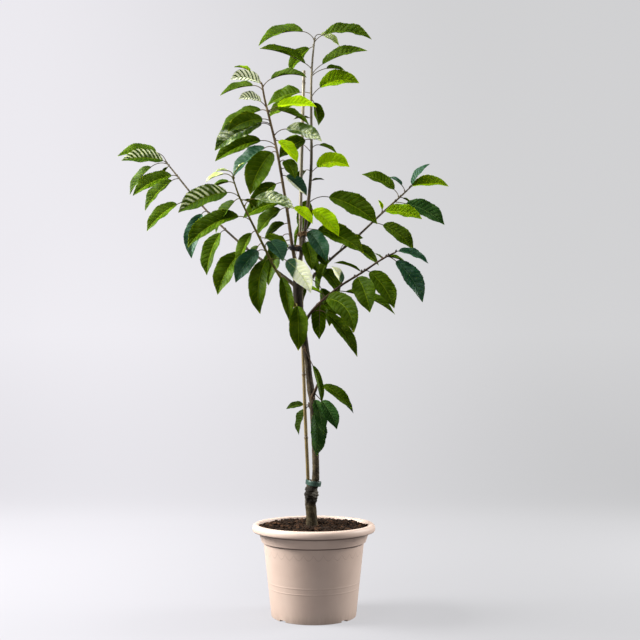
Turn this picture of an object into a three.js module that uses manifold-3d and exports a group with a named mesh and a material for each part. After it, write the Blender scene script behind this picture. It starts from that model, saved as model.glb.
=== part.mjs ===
// A young columnar sweet cherry in a nursery pot, staked to a bamboo cane.
// Millimetres, +Z up. The origin is the middle of the pot's underside, on the ground.
// The front of the plant faces -Y. Compass bearings are degrees seen from above:
// 0 points to the front (-Y), 90 to the right (+X), 180 to the back and 270 to the left.

import * as THREE from 'three';
import { mergeVertices } from 'three/addons/utils/BufferGeometryUtils.js';
import Module from 'manifold-3d';

const wasm = await Module();
wasm.setup();

// ---------------------------------------------------------------- driving dimensions

const GAP = 0.3; // clearance between pieces that touch

// Pot: a moulded container of 280 mm rim diameter
const POT_SIDES = 30;
const POT_HEIGHT = 203;
const RIM_RADIUS = 139;
const RIM_DROP = 15; // height of the rolled rim
const MOUTH_RADIUS = 124;
const COLLAR_TOP_RADIUS = 125.5; // the band under the rim
const COLLAR_TOP = 184;
const COLLAR_FOOT_RADIUS = 118.5;
const COLLAR_FOOT = 166;
const BODY_TOP_RADIUS = 113.5;
const BODY_TOP = 162;
const BASE_RADIUS = 95.5;
const WALL = 2.8;
const FLOOR = 7; // top of the pot's floor
const FOOT_WIDTH = 11; // ring that the pot stands on
const PAD_RADIUS = 30; // flat pad in the middle of the underside
const UNDERSIDE_RECESS = 4;
const DRAIN_HOLES = 4;
const DRAIN_RADIUS = 8;
const DRAIN_CIRCLE = 58;
const FOOT_NOTCH_WIDTH = 18; // drainage slots through the foot ring
const FOOT_NOTCH_HEIGHT = 5;

// Soil: fills the pot to just under its rim
const SOIL_TOP = 196.5;
const SOIL_CROWN = 2.5; // the middle stands this much above the edge
const CLOD_HEIGHT = 2.2; // how far the crumbs stand up or down
const SOIL_RINGS = 5;
const SOIL_SEED = 7;

// Leaves
const BLADE_THICKNESS = 0.9;
const STALK_RADIUS = 1.2;
const STALK_STEPS = 3;
const TEETH = [{ above: 95, count: 4 }, { above: 48, count: 3 }, { above: 0, count: 2 }]; // by length
const TOOTH_DEPTH = 0.14; // notch between two teeth, as a share of the half width
const TOOTH_LEAN = 0.35; // how far the teeth lean to the tip

// Stems, cane and what ties them together
const TRUNK_SIDES = 10;
const CANE_SIDES = 8;
const STEM_SIDES = 6;
const GRAFT_TAPE = { bottom: 287, height: 11, thickness: 1.2 };
const FORK_TIE = { bottom: 828, height: 10, thickness: 1.6 };
const TWINE = { bottom: 862, height: 12, thickness: 1.6 };
const BAND_STEPS = 28;

// ---------------------------------------------------------------- the limbs
// Stations along each limb, from its root to its tip: [x, y, z, radius].

const TRUNK = [
  [-4, 2, 108, 9], [-4, 0, 150, 11.5], [-4, 0, 192, 12.8], [-5.5, 0, 225, 12.2],
  [-7.5, 0, 245, 12.2], [-6.5, 0, 256, 14.6], [-5.8, 0, 268, 16.6], [-4.5, 0, 279, 15],
  [0.5, 0, 290, 10.4], [3.6, 0, 300, 8.6], [4.4, 0, 324, 8], [4, 0, 350, 7.8], [0.5, 0, 411, 7.4],
  [-3.7, 0, 481, 7.3], [-7, 0, 504, 8.8], [-11, 0, 536, 7.1], [-14.3, 0, 573, 6.7],
  [-20.8, 0, 608, 8.2], [-27, 0, 650, 8.9], [-37.3, 0, 709, 9.7], [-38.5, 0, 745, 10.3],
  [-39, 0, 775, 9.2], [-39, 0, 792, 6],
];

const CANE = [[-9, 25, 60, 4], [-13, 22.5, 280, 4], [-21.5, 17, 481, 4], [-31.5, 15, 890, 4],
  [-24, 15, 1262, 3.8]];

const RIGHT_LEADER = [
  [-36, 2, 786, 5.5], [-28, 5, 829, 4.6], [-21, 8, 878, 4.2], [-14, 12, 937, 4],
  [-8.6, 16, 998, 3.7], [-6.4, 18, 1047, 3.5], [-6.6, 22, 1145, 3.1], [-6.7, 26, 1243, 2.7],
  [-4, 28, 1294, 2.4], [1, 30, 1346, 1.9],
];

const LEFT_LEADER = [
  [-40, 0, 782, 5.5], [-45, -3, 809, 4.5], [-50, -6, 835, 4], [-60.3, -14, 908, 3.6],
  [-69.6, -22, 966, 3.3], [-85.8, -32, 1057, 3], [-101.8, -40, 1126, 2.7],
  [-113.2, -45, 1171, 2.5], [-119.7, -50, 1207, 2],
];

const INNER_SHOOT = [
  [-37, 0, 677, 4.8], [-42, -8, 694, 4.1], [-63.6, -28, 739, 3.3], [-91, -52, 784, 3],
  [-111.4, -74, 824, 2.8], [-140, -98, 880, 2.4], [-164.4, -118, 930, 2],
  [-177.4, -130, 968, 1.6],
];

const LEFT_BRANCH = [
  [-42, 0, 744, 5], [-69, 8, 767, 3.6], [-115.8, 30, 805, 2.9], [-163, 52, 842.5, 2.7],
  [-233.6, 85, 910, 2.5], [-301, 115, 985.6, 2.3], [-354, 140, 1052.5, 2],
  [-374, 150, 1077, 1.7],
];

const UPPER_RIGHT_BRANCH = [
  [-35, 0, 733, 6.5], [-12, 8, 757, 4.6], [13.6, 22, 786, 3.5], [52.8, 45, 826, 3],
  [96.6, 68, 866, 2.8], [164, 102, 934.5, 2.5], [220.6, 130, 990, 2.2], [241, 140, 1011, 1.7],
];

const LOWER_RIGHT_BRANCH = [
  [-27, 0, 647, 4.8], [-16, -10, 668, 3.8], [-2.4, -18, 687, 3.2], [17.4, -30, 706, 2.8],
  [60.5, -54, 738.5, 2.6], [107, -80, 765, 2.4], [154, -110, 793, 2.1],
  [179.7, -130, 803.5, 1.7],
];

const LOW_SPUR_RIGHT = [[-5, 0, 482, 4.5], [-2, -11, 492, 4], [4, -16, 505, 3.4],
  [9, -18, 518, 2.6]];
const LOW_SPUR_LEFT = [[-4, 0, 460, 4], [-9, 13, 465, 3.2], [-11, 31, 472, 2.5]];
const TRUNK_SHOOT = [[-20, 0, 594, 3.4], [-22, -11, 600, 2.6]];

// ---------------------------------------------------------------- the leaves
// height: where the stalk leaves its limb, above the ground
// to:     compass bearing that the leaf points to
// slope:  mean rise of the blade in degrees, negative where it droops
// long:   length of the blade
// turn:   turn of the blade about its own midrib, right-handed, in degrees
// arch:   how far the blade curves down between its base and its tip, in degrees
// fold:   how far each half stands up from flat, in degrees
// wide:   width as a share of the length
// stalk:  length of the stalk as a share of the blade
// rise:   upward angle at which the stalk leaves the limb, in degrees

const LEAF = { turn: 0, arch: 32, fold: 24, wide: 0.46, stalk: 0.33, rise: 50 };

const RIGHT_LEADER_LEAVES = [
  { height: 1342, to: 268, slope: -18, long: 117, turn: -46, arch: 55, stalk: 0.32, rise: 70 },
  { height: 1337, to: 92, slope: -6, long: 117, turn: 50, arch: 50, stalk: 0.29, rise: 60 },
  { height: 1344, to: 112, slope: -24, long: 54, turn: 58, wide: 0.6, stalk: 0.48, rise: 95 },
  { height: 1256, to: 85, slope: 15, long: 113, turn: 46, rise: 58 },
  { height: 1252, to: 112, slope: 0, long: 50, turn: 42, stalk: 0.95 },
  { height: 1200, to: 86, slope: 5, long: 98, turn: 64, arch: 60, wide: 0.54, rise: 62 },
  { height: 1270, to: 284, slope: 13, long: 116, turn: -38, stalk: 0.18 },
  { height: 1327, to: 252, slope: -47, long: 74, turn: -70, wide: 0.6, stalk: 0.16, rise: 0 },
  { height: 1210, to: 246, slope: -14, long: 92, turn: -62, wide: 0.52, rise: 25 },
  { height: 1189, to: 258, slope: -24, long: 86, turn: -58, wide: 0.56, rise: 20 },
  { height: 1196, to: 150, slope: -66, long: 56, turn: 20, wide: 0.7, stalk: 0.25, rise: 10 },
  { height: 1150, to: 262, slope: -4, long: 38, wide: 0.34, stalk: 0.15, rise: 0 },
  { height: 1068, to: 96, slope: -26, long: 47, turn: 40, stalk: 0.6, rise: 90 },
  { height: 1015, to: 90, slope: 0, long: 82, turn: 66, arch: 75, wide: 0.58, stalk: 0.25, rise: 50 },
  { height: 996, to: 80, slope: 0, long: 30, wide: 0.4, stalk: 0.15, rise: 10 },
  { height: 1064, to: 232, slope: 22, long: 56, turn: -50, stalk: 0.7 },
  { height: 1017, to: 214, slope: -28, long: 58, stalk: 0.5 },
  { height: 941, to: 80, slope: -31, long: 134, turn: 62, stalk: 0.4, rise: 46 },
  { height: 927, to: 68, slope: -46, long: 94, turn: 60, stalk: 0.15, rise: 10 },
  { height: 880, to: 80, slope: -28, long: 124, turn: 58, stalk: 0.24, rise: 0 },
  { height: 952, to: 196, slope: -68, long: 84, turn: 10, wide: 0.5, stalk: 0.2 },
  { height: 877, to: 52, slope: -55, long: 94, turn: 50, stalk: 0.12, rise: 0 },
  { height: 852, to: 26, slope: -66, long: 78, turn: 20, stalk: 0.2, rise: 10 },
  { height: 821, to: 52, slope: -52, long: 60, turn: 45, stalk: 0.2, rise: 10 },
  { height: 1096, to: 294, slope: -38, long: 84, turn: -64, wide: 0.5, stalk: 0.2, rise: 10 },
  { height: 915, to: 216, slope: -68, long: 80, turn: -60, wide: 0.38, stalk: 0.28, rise: 0 },
  { height: 846, to: 70, slope: -50, long: 72, turn: 66, wide: 0.5, stalk: 0.2, rise: 0 },
];

const LEFT_LEADER_LEAVES = [
  { height: 1206, to: 243, slope: 20, long: 48, turn: -20, stalk: 1.05, rise: 62 },
  { height: 1205, to: 287, slope: 0, long: 72, turn: -62, arch: 60, wide: 0.55, stalk: 0.1 },
  { height: 1191, to: 262, slope: -15, long: 82, turn: -44, stalk: 0.36, rise: 62 },
  { height: 1199, to: 84, slope: 0, long: 86, turn: 38, arch: 52, rise: 65 },
  { height: 1145, to: 294, slope: -2, long: 56, turn: -62, arch: 60, wide: 0.54, stalk: 0.5, rise: 74 },
  { height: 1139, to: 256, slope: -28, long: 118, turn: -50, stalk: 0.2, rise: 75 },
  { height: 1114, to: 246, slope: -13, long: 126, turn: -36, stalk: 0.2, rise: 45 },
  { height: 1109, to: 287, slope: -34, long: 132, turn: -58, stalk: 0.2 },
  { height: 1066, to: 279, slope: -27, long: 118, turn: -56, rise: 46 },
  { height: 1058, to: 248, slope: -38, long: 110, turn: -60, stalk: 0.3 },
  { height: 1049, to: 304, slope: -62, long: 122, turn: -52, wide: 0.5, stalk: 0.14 },
  { height: 1143, to: 78, slope: -5, long: 94, turn: 52, arch: 30, stalk: 0.28 },
  { height: 1141, to: 112, slope: -20, long: 84, turn: 40, stalk: 0.34 },
  { height: 1088, to: 74, slope: -23, long: 94, turn: 58, stalk: 0.38, rise: 60 },
  { height: 1078, to: 64, slope: -50, long: 76, turn: 44, wide: 0.44, stalk: 0.14, rise: 20 },
  { height: 998, to: 78, slope: -45, long: 70, turn: 60, stalk: 0.16, rise: 20 },
  { height: 918, to: 64, slope: -42, long: 64, turn: 46, stalk: 0.34, rise: 65 },
  { height: 1026, to: 48, slope: -55, long: 58, turn: 40, wide: 0.6, stalk: 0.35, rise: 65 },
  { height: 1011, to: 100, slope: -40, long: 34, turn: 20, stalk: 0.45, rise: 60 },
  { height: 863, to: 284, slope: -68, long: 70, turn: -76, wide: 0.5, stalk: 0.3, rise: 30 },
  { height: 851, to: 262, slope: -72, long: 102, turn: -74, wide: 0.46, stalk: 0.25, rise: 10 },
  { height: 926, to: 244, slope: -42, long: 84, turn: -66, wide: 0.58, stalk: 0.2, rise: 0 },
  { height: 938, to: 256, slope: -20, long: 96, turn: -64, wide: 0.54, stalk: 0.16, rise: 0 },
  { height: 1124, to: 296, slope: -26, long: 96, turn: -64, stalk: 0.2, rise: 20 },
  { height: 982, to: 272, slope: -48, long: 88, turn: -68, wide: 0.5, stalk: 0.18, rise: 10 },
  { height: 889, to: 238, slope: -30, long: 66, turn: -64, wide: 0.5, stalk: 0.2, rise: 20 },
];

const INNER_SHOOT_LEAVES = [
  { height: 966, to: 285, slope: -8, long: 28, turn: -30, stalk: 0.85, rise: 105 },
  { height: 964, to: 70, slope: 36, long: 26, turn: 30, stalk: 0.85, rise: 95 },
  { height: 961, to: 262, slope: -24, long: 44, turn: -40, wide: 0.5, stalk: 0.75, rise: 78 },
  { height: 955, to: 238, slope: -16, long: 68, turn: -30, stalk: 0.3, rise: 45 },
  { height: 926, to: 290, slope: -26, long: 122, turn: -62, stalk: 0.26 },
  { height: 907, to: 78, slope: -17, long: 96, turn: 48, stalk: 0.34, rise: 75 },
  { height: 925, to: 236, slope: -52, long: 86, turn: -64, wide: 0.52, stalk: 0.2, rise: 10 },
  { height: 919, to: 150, slope: -12, long: 50, stalk: 0.25 },
  { height: 865, to: 286, slope: -34, long: 140, turn: -48, arch: 50, wide: 0.42, rise: 75 },
  { height: 858, to: 246, slope: -66, long: 78, turn: -72, wide: 0.5, stalk: 0.15, rise: 0 },
  { height: 821, to: 36, slope: -44, long: 74, turn: 24, wide: 0.6, stalk: 0.4, rise: 88 },
  { height: 812, to: 300, slope: -54, long: 94, turn: -60, stalk: 0.26 },
  { height: 795, to: 326, slope: -80, long: 132, turn: -20, arch: 62, wide: 0.36, stalk: 0.14 },
  { height: 795, to: 58, slope: -50, long: 102, turn: 56, stalk: 0.44, rise: 26 },
  { height: 763, to: 52, slope: -77, long: 106, turn: 60, wide: 0.3, stalk: 0.06, rise: 0 },
  { height: 696, to: 14, slope: -84, long: 104, turn: 10, wide: 0.46, stalk: 0.24, rise: 60 },
  { height: 842, to: 110, slope: -18, long: 60, turn: 58, wide: 0.5, stalk: 0.2, rise: 20 },
  { height: 832, to: 232, slope: -64, long: 68, turn: -62, wide: 0.56, stalk: 0.2, rise: 0 },
];

const LEFT_BRANCH_LEAVES = [
  { height: 1075, to: 264, slope: -4, long: 102, turn: -52, stalk: 0.38, rise: 78 },
  { height: 1073, to: 286, slope: -4, long: 104, turn: -62, stalk: 0.1 },
  { height: 1070, to: 249, slope: -48, long: 92, turn: -58, stalk: 0.54, rise: 25 },
  { height: 1064, to: 222, slope: -42, long: 52, turn: -30, stalk: 0.15, rise: 20 },
  { height: 1035, to: 278, slope: -30, long: 110, turn: -56, stalk: 0.14, rise: 30 },
  { height: 1029, to: 254, slope: -45, long: 104, turn: -62, stalk: 0.2, rise: 10 },
  { height: 974, to: 263, slope: -41, long: 102, turn: -62, stalk: 0.48, rise: -5 },
  { height: 926, to: 284, slope: -78, long: 114, turn: -58, wide: 0.4, stalk: 0.3, rise: 85 },
  { height: 889, to: 300, slope: -72, long: 112, turn: -30, wide: 0.44, stalk: 0.15, rise: 0 },
  { height: 838, to: 282, slope: -63, long: 116, turn: -62, wide: 0.48, stalk: 0.18, rise: 0 },
];

const UPPER_RIGHT_LEAVES = [
  { height: 979, to: 261, slope: 27, long: 92, turn: -52, arch: 30, stalk: 0.27, rise: 80 },
  { height: 995, to: 248, slope: 34, long: 42, turn: -30, stalk: 0.5, rise: 80 },
  { height: 1009, to: 74, slope: 47, long: 68, turn: 46, stalk: 0.12 },
  { height: 1006, to: 88, slope: -1, long: 93, turn: 52, arch: 45, stalk: 0.1 },
  { height: 968, to: 80, slope: -31, long: 110, turn: 64, stalk: 0.26, rise: -8 },
  { height: 934, to: 76, slope: -15, long: 94, turn: 56, stalk: 0.14, rise: 60 },
  { height: 938, to: 312, slope: 58, long: 26, stalk: 0.3, rise: 80 },
  { height: 981, to: 96, slope: -38, long: 28, stalk: 0.3, rise: 0 },
  { height: 911, to: 80, slope: -41, long: 98, turn: 62, stalk: 0.28, rise: -5 },
  { height: 842, to: 104, slope: -33, long: 84, turn: 55, stalk: 0.24, rise: 55 },
  { height: 834, to: 106, slope: 14, long: 42, turn: 50, wide: 0.6, stalk: 0.75, rise: 75 },
  { height: 762, to: 98, slope: -78, long: 92, turn: 74, wide: 0.46, stalk: 0.36, rise: -20 },
  { height: 811, to: 322, slope: -58, long: 66, wide: 0.5, stalk: 0.1, rise: 0 },
  { height: 787, to: 62, slope: -52, long: 70, turn: 50, wide: 0.52, stalk: 0.12, rise: 0 },
  { height: 779, to: 128, slope: -46, long: 84, turn: 52, wide: 0.5, stalk: 0.14, rise: 0 },
  { height: 772, to: 214, slope: -60, long: 80, turn: -30, wide: 0.5, stalk: 0.2, rise: 0 },
  { height: 812, to: 236, slope: -74, long: 72, turn: -56, wide: 0.6, stalk: 0.2, rise: 0 },
];

const LOWER_RIGHT_LEAVES = [
  { height: 795, to: 84, slope: -20, long: 42, turn: 20, wide: 0.5, stalk: 0.1 },
  { height: 792, to: 240, slope: 30, long: 20, stalk: 0.2 },
  { height: 797, to: 74, slope: -58, long: 110, turn: 55, wide: 0.42, stalk: 0.2, rise: -25 },
  { height: 803, to: 98, slope: -22, long: 72, turn: 45, stalk: 0.12 },
  { height: 768, to: 68, slope: -56, long: 102, turn: 60, stalk: 0.14, rise: 20 },
  { height: 766, to: 256, slope: 18, long: 64, wide: 0.4, stalk: 0.1, rise: 30 },
  { height: 756, to: 35, slope: -62, long: 94, turn: 45, wide: 0.56, stalk: 0.14, rise: 30 },
  { height: 708, to: 50, slope: -46, long: 124, turn: 60, arch: 90, wide: 0.42, stalk: 0.1, rise: 20 },
  { height: 728, to: 72, slope: -26, long: 128, turn: 12, wide: 0.4, stalk: 0.22, rise: 0 },
  { height: 741, to: 268, slope: 58, long: 46, turn: -60, wide: 0.5, stalk: 0.1, rise: 80 },
  { height: 677, to: 66, slope: -53, long: 130, turn: 50, wide: 0.26, stalk: 0.34, rise: 45 },
  { height: 712, to: 288, slope: 12, long: 44, turn: -30, stalk: 0.35, rise: 85 },
  { height: 705, to: 190, slope: -82, long: 88, wide: 0.44, stalk: 0.15, rise: 80 },
  { height: 699, to: 84, slope: -26, long: 86, turn: 64, wide: 0.5, stalk: 0.14, rise: 20 },
];

const LOW_SPUR_RIGHT_LEAVES = [
  { height: 516, to: 78, slope: -39, long: 86, turn: 55, wide: 0.36, stalk: 0.15, rise: 10 },
  { height: 512, to: 106, slope: -40, long: 90, turn: -20, wide: 0.34, stalk: 0.22, rise: 0 },
  { height: 498, to: 58, slope: -58, long: 76, turn: 55, stalk: 0.36, rise: -42 },
  { height: 493, to: 34, slope: -68, long: 84, turn: 20, wide: 0.38, stalk: 0.16, rise: -60 },
  { height: 488, to: 28, slope: -86, long: 96, wide: 0.46, stalk: 0.42, rise: -72 },
];

const LOW_SPUR_LEFT_LEAVES = [
  { height: 470, to: 266, slope: -14, long: 42, turn: -50, wide: 0.5, stalk: 0.33, rise: 0 },
  { height: 469, to: 226, slope: -70, long: 64, turn: -70, wide: 0.58, stalk: 0.26, rise: -20 },
];

const TRUNK_SHOOT_LEAVES = [
  { height: 599, to: 52, slope: -74, long: 92, turn: 20, wide: 0.21, stalk: 0.5, rise: -58 },
];

// ---------------------------------------------------------------- colours

const COLOURS = {
  pot: 0xc3ab9b, soil: 0x35261b, bark: 0x4b3a2c, cane: 0xb08c58, leaf: 0x46701f,
  tape: 0x2e6f43, tie: 0x201f1e, twine: 0x7d5f3c,
};

function finish(colour, roughness) {
  return new THREE.MeshStandardMaterial({ color: colour, roughness, metalness: 0 });
}

// ---------------------------------------------------------------- solids and meshes

const model = new THREE.Group();

function solidOf(geometry) {
  const bare = geometry.clone();
  for (const name of Object.keys(bare.attributes)) {
    if (name !== 'position') bare.deleteAttribute(name);
  }
  const merged = mergeVertices(bare, 1e-4);
  return new wasm.Manifold(new wasm.Mesh({
    numProp: 3,
    vertProperties: new Float32Array(merged.attributes.position.array),
    triVerts: new Uint32Array(merged.index.array),
  }));
}

function geometryOf(solid) {
  const mesh = solid.getMesh();
  const geometry = new THREE.BufferGeometry();
  geometry.setAttribute('position', new THREE.BufferAttribute(mesh.vertProperties, 3));
  geometry.setIndex(new THREE.BufferAttribute(mesh.triVerts, 1));
  geometry.computeVertexNormals();
  return geometry;
}

function addPiece(name, geometry, material) {
  const mesh = new THREE.Mesh(geometry, material);
  mesh.name = name;
  model.add(mesh);
}

const radians = THREE.MathUtils.degToRad;
const UP = new THREE.Vector3(0, 0, 1);
const DEPTH = new THREE.Vector3(0, 1, 0);

// A closed tube through rings of {centre, tangent, radius}; across fixes its roll.
function tube(rings, sides, across) {
  const steps = rings.length - 1;
  const geometry = new THREE.CylinderGeometry(1, 1, 1, sides, steps);
  const position = geometry.attributes.position;
  for (let i = 0; i < position.count; i += 1) {
    const ring = rings[Math.round((position.getY(i) + 0.5) * steps)];
    const sideways = across.clone().addScaledVector(ring.tangent, -across.dot(ring.tangent)).normalize();
    const outward = sideways.clone().cross(ring.tangent);
    const point = ring.centre.clone()
      .addScaledVector(sideways, position.getX(i) * ring.radius)
      .addScaledVector(outward, position.getZ(i) * ring.radius);
    position.setXYZ(i, point.x, point.y, point.z);
  }
  return geometry;
}

function limbCurve(stations) {
  const points = stations.map(([x, y, z]) => new THREE.Vector3(x, y, z));
  return new THREE.CatmullRomCurve3(points, false, 'centripetal');
}

// A bent, tapering limb through its stations; grow makes it fatter and longer.
function limb(stations, sides, stepsPerStation, grow = 0) {
  const curve = limbCurve(stations);
  const spans = stations.length - 1;
  const steps = spans * stepsPerStation;
  const rings = [];
  for (let i = 0; i <= steps; i += 1) {
    const along = (i / steps) * spans;
    const span = Math.min(Math.floor(along), spans - 1);
    const radius = THREE.MathUtils.lerp(stations[span][3], stations[span + 1][3], along - span);
    const tangent = curve.getTangent(i / steps);
    const centre = curve.getPoint(i / steps);
    if (i === 0) centre.addScaledVector(tangent, -grow);
    if (i === steps) centre.addScaledVector(tangent, grow);
    rings.push({ centre, tangent, radius: radius + grow });
  }
  return tube(rings, sides, DEPTH);
}

// The point of a limb's centre line at a height above the ground.
function pointAtHeight(curve, height) {
  let low = 0;
  let high = 1;
  for (let i = 0; i < 30; i += 1) {
    const middle = (low + high) / 2;
    if (curve.getPoint(middle).z < height) low = middle;
    else high = middle;
  }
  return curve.getPoint(low);
}

// ---------------------------------------------------------------- one leaf

// A place on an arc that starts at angle a and ends at angle b, both above level.
function arcPlace(start, a, b, length, share) {
  const bend = Math.abs(b - a) < 1e-4 ? 1e-4 : b - a;
  const angle = a + bend * share;
  return {
    out: start.out + (length / bend) * (Math.sin(angle) - Math.sin(a)),
    up: start.up - (length / bend) * (Math.cos(angle) - Math.cos(a)),
    angle,
  };
}

function leafFrame(leaf, root) {
  const bearing = radians(leaf.to);
  const heading = new THREE.Vector3(Math.sin(bearing), -Math.cos(bearing), 0);
  const across = heading.clone().cross(UP);
  const baseAngle = radians(leaf.slope + leaf.arch / 2);
  const tipAngle = radians(leaf.slope - leaf.arch / 2);
  const stalkLength = leaf.stalk * leaf.long;
  const rootPlace = { out: 0, up: 0 };
  const base = arcPlace(rootPlace, radians(leaf.rise), baseAngle, stalkLength, 1);

  const station = (place) => ({
    centre: root.clone().addScaledVector(heading, place.out).addScaledVector(UP, place.up),
    tangent: heading.clone().multiplyScalar(Math.cos(place.angle))
      .addScaledVector(UP, Math.sin(place.angle)),
  });
  return {
    across,
    stalkAt: (share) => station(
      arcPlace(rootPlace, radians(leaf.rise), baseAngle, stalkLength, share)),
    bladeAt: (share) => station(arcPlace(base, baseAngle, tipAngle, leaf.long, share)),
  };
}

// Half width of the blade, as a share of its widest: a rounded base and a drawn-out point.
function bladeProfile(share) {
  return 2.71 * Math.pow(share, 0.65) * Math.pow(1 - share, 0.8);
}

// A leaf in one closed skin: a four-sided stalk that opens into the two faces of a saw-edged blade,
// folded along its midrib and arched from base to tip.
function leafGeometry(leaf, frame) {
  const turn = radians(leaf.turn);
  const fold = radians(leaf.fold);
  const halfWidth = (leaf.long * leaf.wide) / 2;
  const teeth = TEETH.find(({ above }) => leaf.long > above).count;
  const positions = [];
  const faces = [];
  const addPoint = (point) => positions.push(point.x, point.y, point.z) / 3 - 1;

  // Corners of a four-sided ring, in order: right, top, left, bottom.
  const addRing = ({ centre, tangent }, roll, reach, depth) => {
    const across = frame.across.clone().applyAxisAngle(tangent, roll);
    const normal = across.clone().cross(tangent);
    return [[reach, 0], [0, depth], [-reach, 0], [0, -depth]].map(([right, up]) => addPoint(
      centre.clone().addScaledVector(across, right).addScaledVector(normal, up)));
  };
  const stalkRings = [];
  for (let i = 0; i < STALK_STEPS; i += 1) {
    const share = i / STALK_STEPS;
    const radius = STALK_RADIUS * (1.2 - 0.3 * share);
    stalkRings.push(addRing(frame.stalkAt(share), turn * share, radius, radius));
  }
  const base = addRing(frame.bladeAt(0), turn, STALK_RADIUS, STALK_RADIUS / 2);
  stalkRings.push(base);
  for (let i = 0; i < STALK_STEPS; i += 1) {
    for (let corner = 0; corner < 4; corner += 1) {
      const next = (corner + 1) % 4;
      const [low, high] = [stalkRings[i], stalkRings[i + 1]];
      faces.push(low[corner], high[next], low[next], low[corner], high[corner], high[next]);
    }
  }
  const [a, b, c, d] = stalkRings[0];
  faces.push(a, b, c, a, c, d);

  // A pair of corners on the upper and lower face of the blade.
  const addPair = (share, side, width, thickness) => {
    const { centre, tangent } = frame.bladeAt(share);
    const across = frame.across.clone().applyAxisAngle(tangent, turn);
    const normal = across.clone().cross(tangent);
    centre.addScaledVector(across, side * width * Math.cos(fold));
    centre.addScaledVector(normal, width * Math.sin(fold));
    return [0.5, -0.5].map((lift) => addPoint(centre.clone().addScaledVector(normal, lift * thickness)));
  };
  const midrib = [[base[1], base[3]]];
  for (let i = 1; i < teeth; i += 1) midrib.push(addPair(i / teeth, 0, 0, BLADE_THICKNESS));
  const tip = addPair(1, 0, 0, BLADE_THICKNESS);
  midrib.push(tip);
  for (const side of [1, -1]) {
    const corner = side > 0 ? base[0] : base[2];
    const edge = [[corner, corner]];
    for (let row = 1; row < teeth * 2; row += 1) {
      const isTooth = row % 2 === 1;
      const share = (row + (isTooth ? TOOTH_LEAN : 0)) / (teeth * 2);
      const width = halfWidth * bladeProfile(share) * (isTooth ? 1 : 1 - TOOTH_DEPTH);
      edge.push(addPair(share, side, width, BLADE_THICKNESS));
    }
    edge.push(tip);
    const addFace = (p, q, r, flip) => {
      if (p === q || q === r || r === p) return;
      if (flip) faces.push(p, r, q);
      else faces.push(p, q, r);
    };
    for (let tooth = 0; tooth < teeth; tooth += 1) {
      const [m0, m1] = [midrib[tooth], midrib[tooth + 1]];
      const [e0, e1, e2] = edge.slice(2 * tooth, 2 * tooth + 3);
      for (const face of [0, 1]) {
        const flip = (side < 0) !== (face === 1);
        addFace(m0[face], e0[face], e1[face], flip);
        addFace(m0[face], e1[face], m1[face], flip);
        addFace(m1[face], e1[face], e2[face], flip);
      }
    }
    for (let row = 0; row < teeth * 2; row += 1) {
      const [e0, e1] = [edge[row], edge[row + 1]];
      addFace(e1[0], e0[0], e0[1], side < 0);
      addFace(e1[0], e0[1], e1[1], side < 0);
    }
  }
  const geometry = new THREE.BufferGeometry();
  geometry.setAttribute('position', new THREE.Float32BufferAttribute(positions, 3));
  geometry.setIndex(faces);
  return geometry;
}

// ---------------------------------------------------------------- limbs with leaves

function leafyLimb(name, stations, leaves, neighbours) {
  const curve = limbCurve(stations);
  const solids = [solidOf(limb(stations, STEM_SIDES, 2))];
  for (const row of leaves) {
    const leaf = { ...LEAF, ...row };
    const frame = leafFrame(leaf, pointAtHeight(curve, leaf.height));
    solids.push(solidOf(leafGeometry(leaf, frame)));
  }
  let limbWithLeaves = wasm.Manifold.union(solids);
  for (const neighbour of neighbours) limbWithLeaves = limbWithLeaves.subtract(neighbour);
  addPiece(name, geometryOf(limbWithLeaves.simplify(0.01)), finish(COLOURS.leaf, 0.45));
}

const trunkRoom = solidOf(limb(TRUNK, TRUNK_SIDES, 1, GAP));
const caneRoom = solidOf(limb(CANE, CANE_SIDES, 3, GAP));

addPiece('trunk', limb(TRUNK, TRUNK_SIDES, 1), finish(COLOURS.bark, 0.85));
addPiece('cane', limb(CANE, CANE_SIDES, 3), finish(COLOURS.cane, 0.6));

leafyLimb('right_leader', RIGHT_LEADER, RIGHT_LEADER_LEAVES, [trunkRoom]);
const rightLeaderRoom = solidOf(limb(RIGHT_LEADER, STEM_SIDES, 2, GAP));
leafyLimb('left_leader', LEFT_LEADER, LEFT_LEADER_LEAVES, [trunkRoom, rightLeaderRoom]);
leafyLimb('inner_shoot', INNER_SHOOT, INNER_SHOOT_LEAVES, [trunkRoom]);
leafyLimb('left_branch', LEFT_BRANCH, LEFT_BRANCH_LEAVES, [trunkRoom]);
leafyLimb('upper_right_branch', UPPER_RIGHT_BRANCH, UPPER_RIGHT_LEAVES, [trunkRoom]);
leafyLimb('lower_right_branch', LOWER_RIGHT_BRANCH, LOWER_RIGHT_LEAVES, [trunkRoom]);
leafyLimb('low_spur_right', LOW_SPUR_RIGHT, LOW_SPUR_RIGHT_LEAVES, [trunkRoom]);
leafyLimb('low_spur_left', LOW_SPUR_LEFT, LOW_SPUR_LEFT_LEAVES, [trunkRoom]);
leafyLimb('trunk_shoot', TRUNK_SHOOT, TRUNK_SHOOT_LEAVES, [trunkRoom]);

// ---------------------------------------------------------------- ties

// The outline of a band pulled tight round circles of [x, y, radius].
function bandOutline(circles, grow) {
  return Array.from({ length: BAND_STEPS }, (unused, i) => {
    const angle = (i / BAND_STEPS) * 2 * Math.PI;
    const [c, s] = [Math.cos(angle), Math.sin(angle)];
    const reach = circles.map(([x, y, r]) => x * c + y * s + r);
    const [x, y, r] = circles[reach.indexOf(Math.max(...reach))];
    return new THREE.Vector2(x + (r + grow) * c, y + (r + grow) * s);
  });
}

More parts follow.
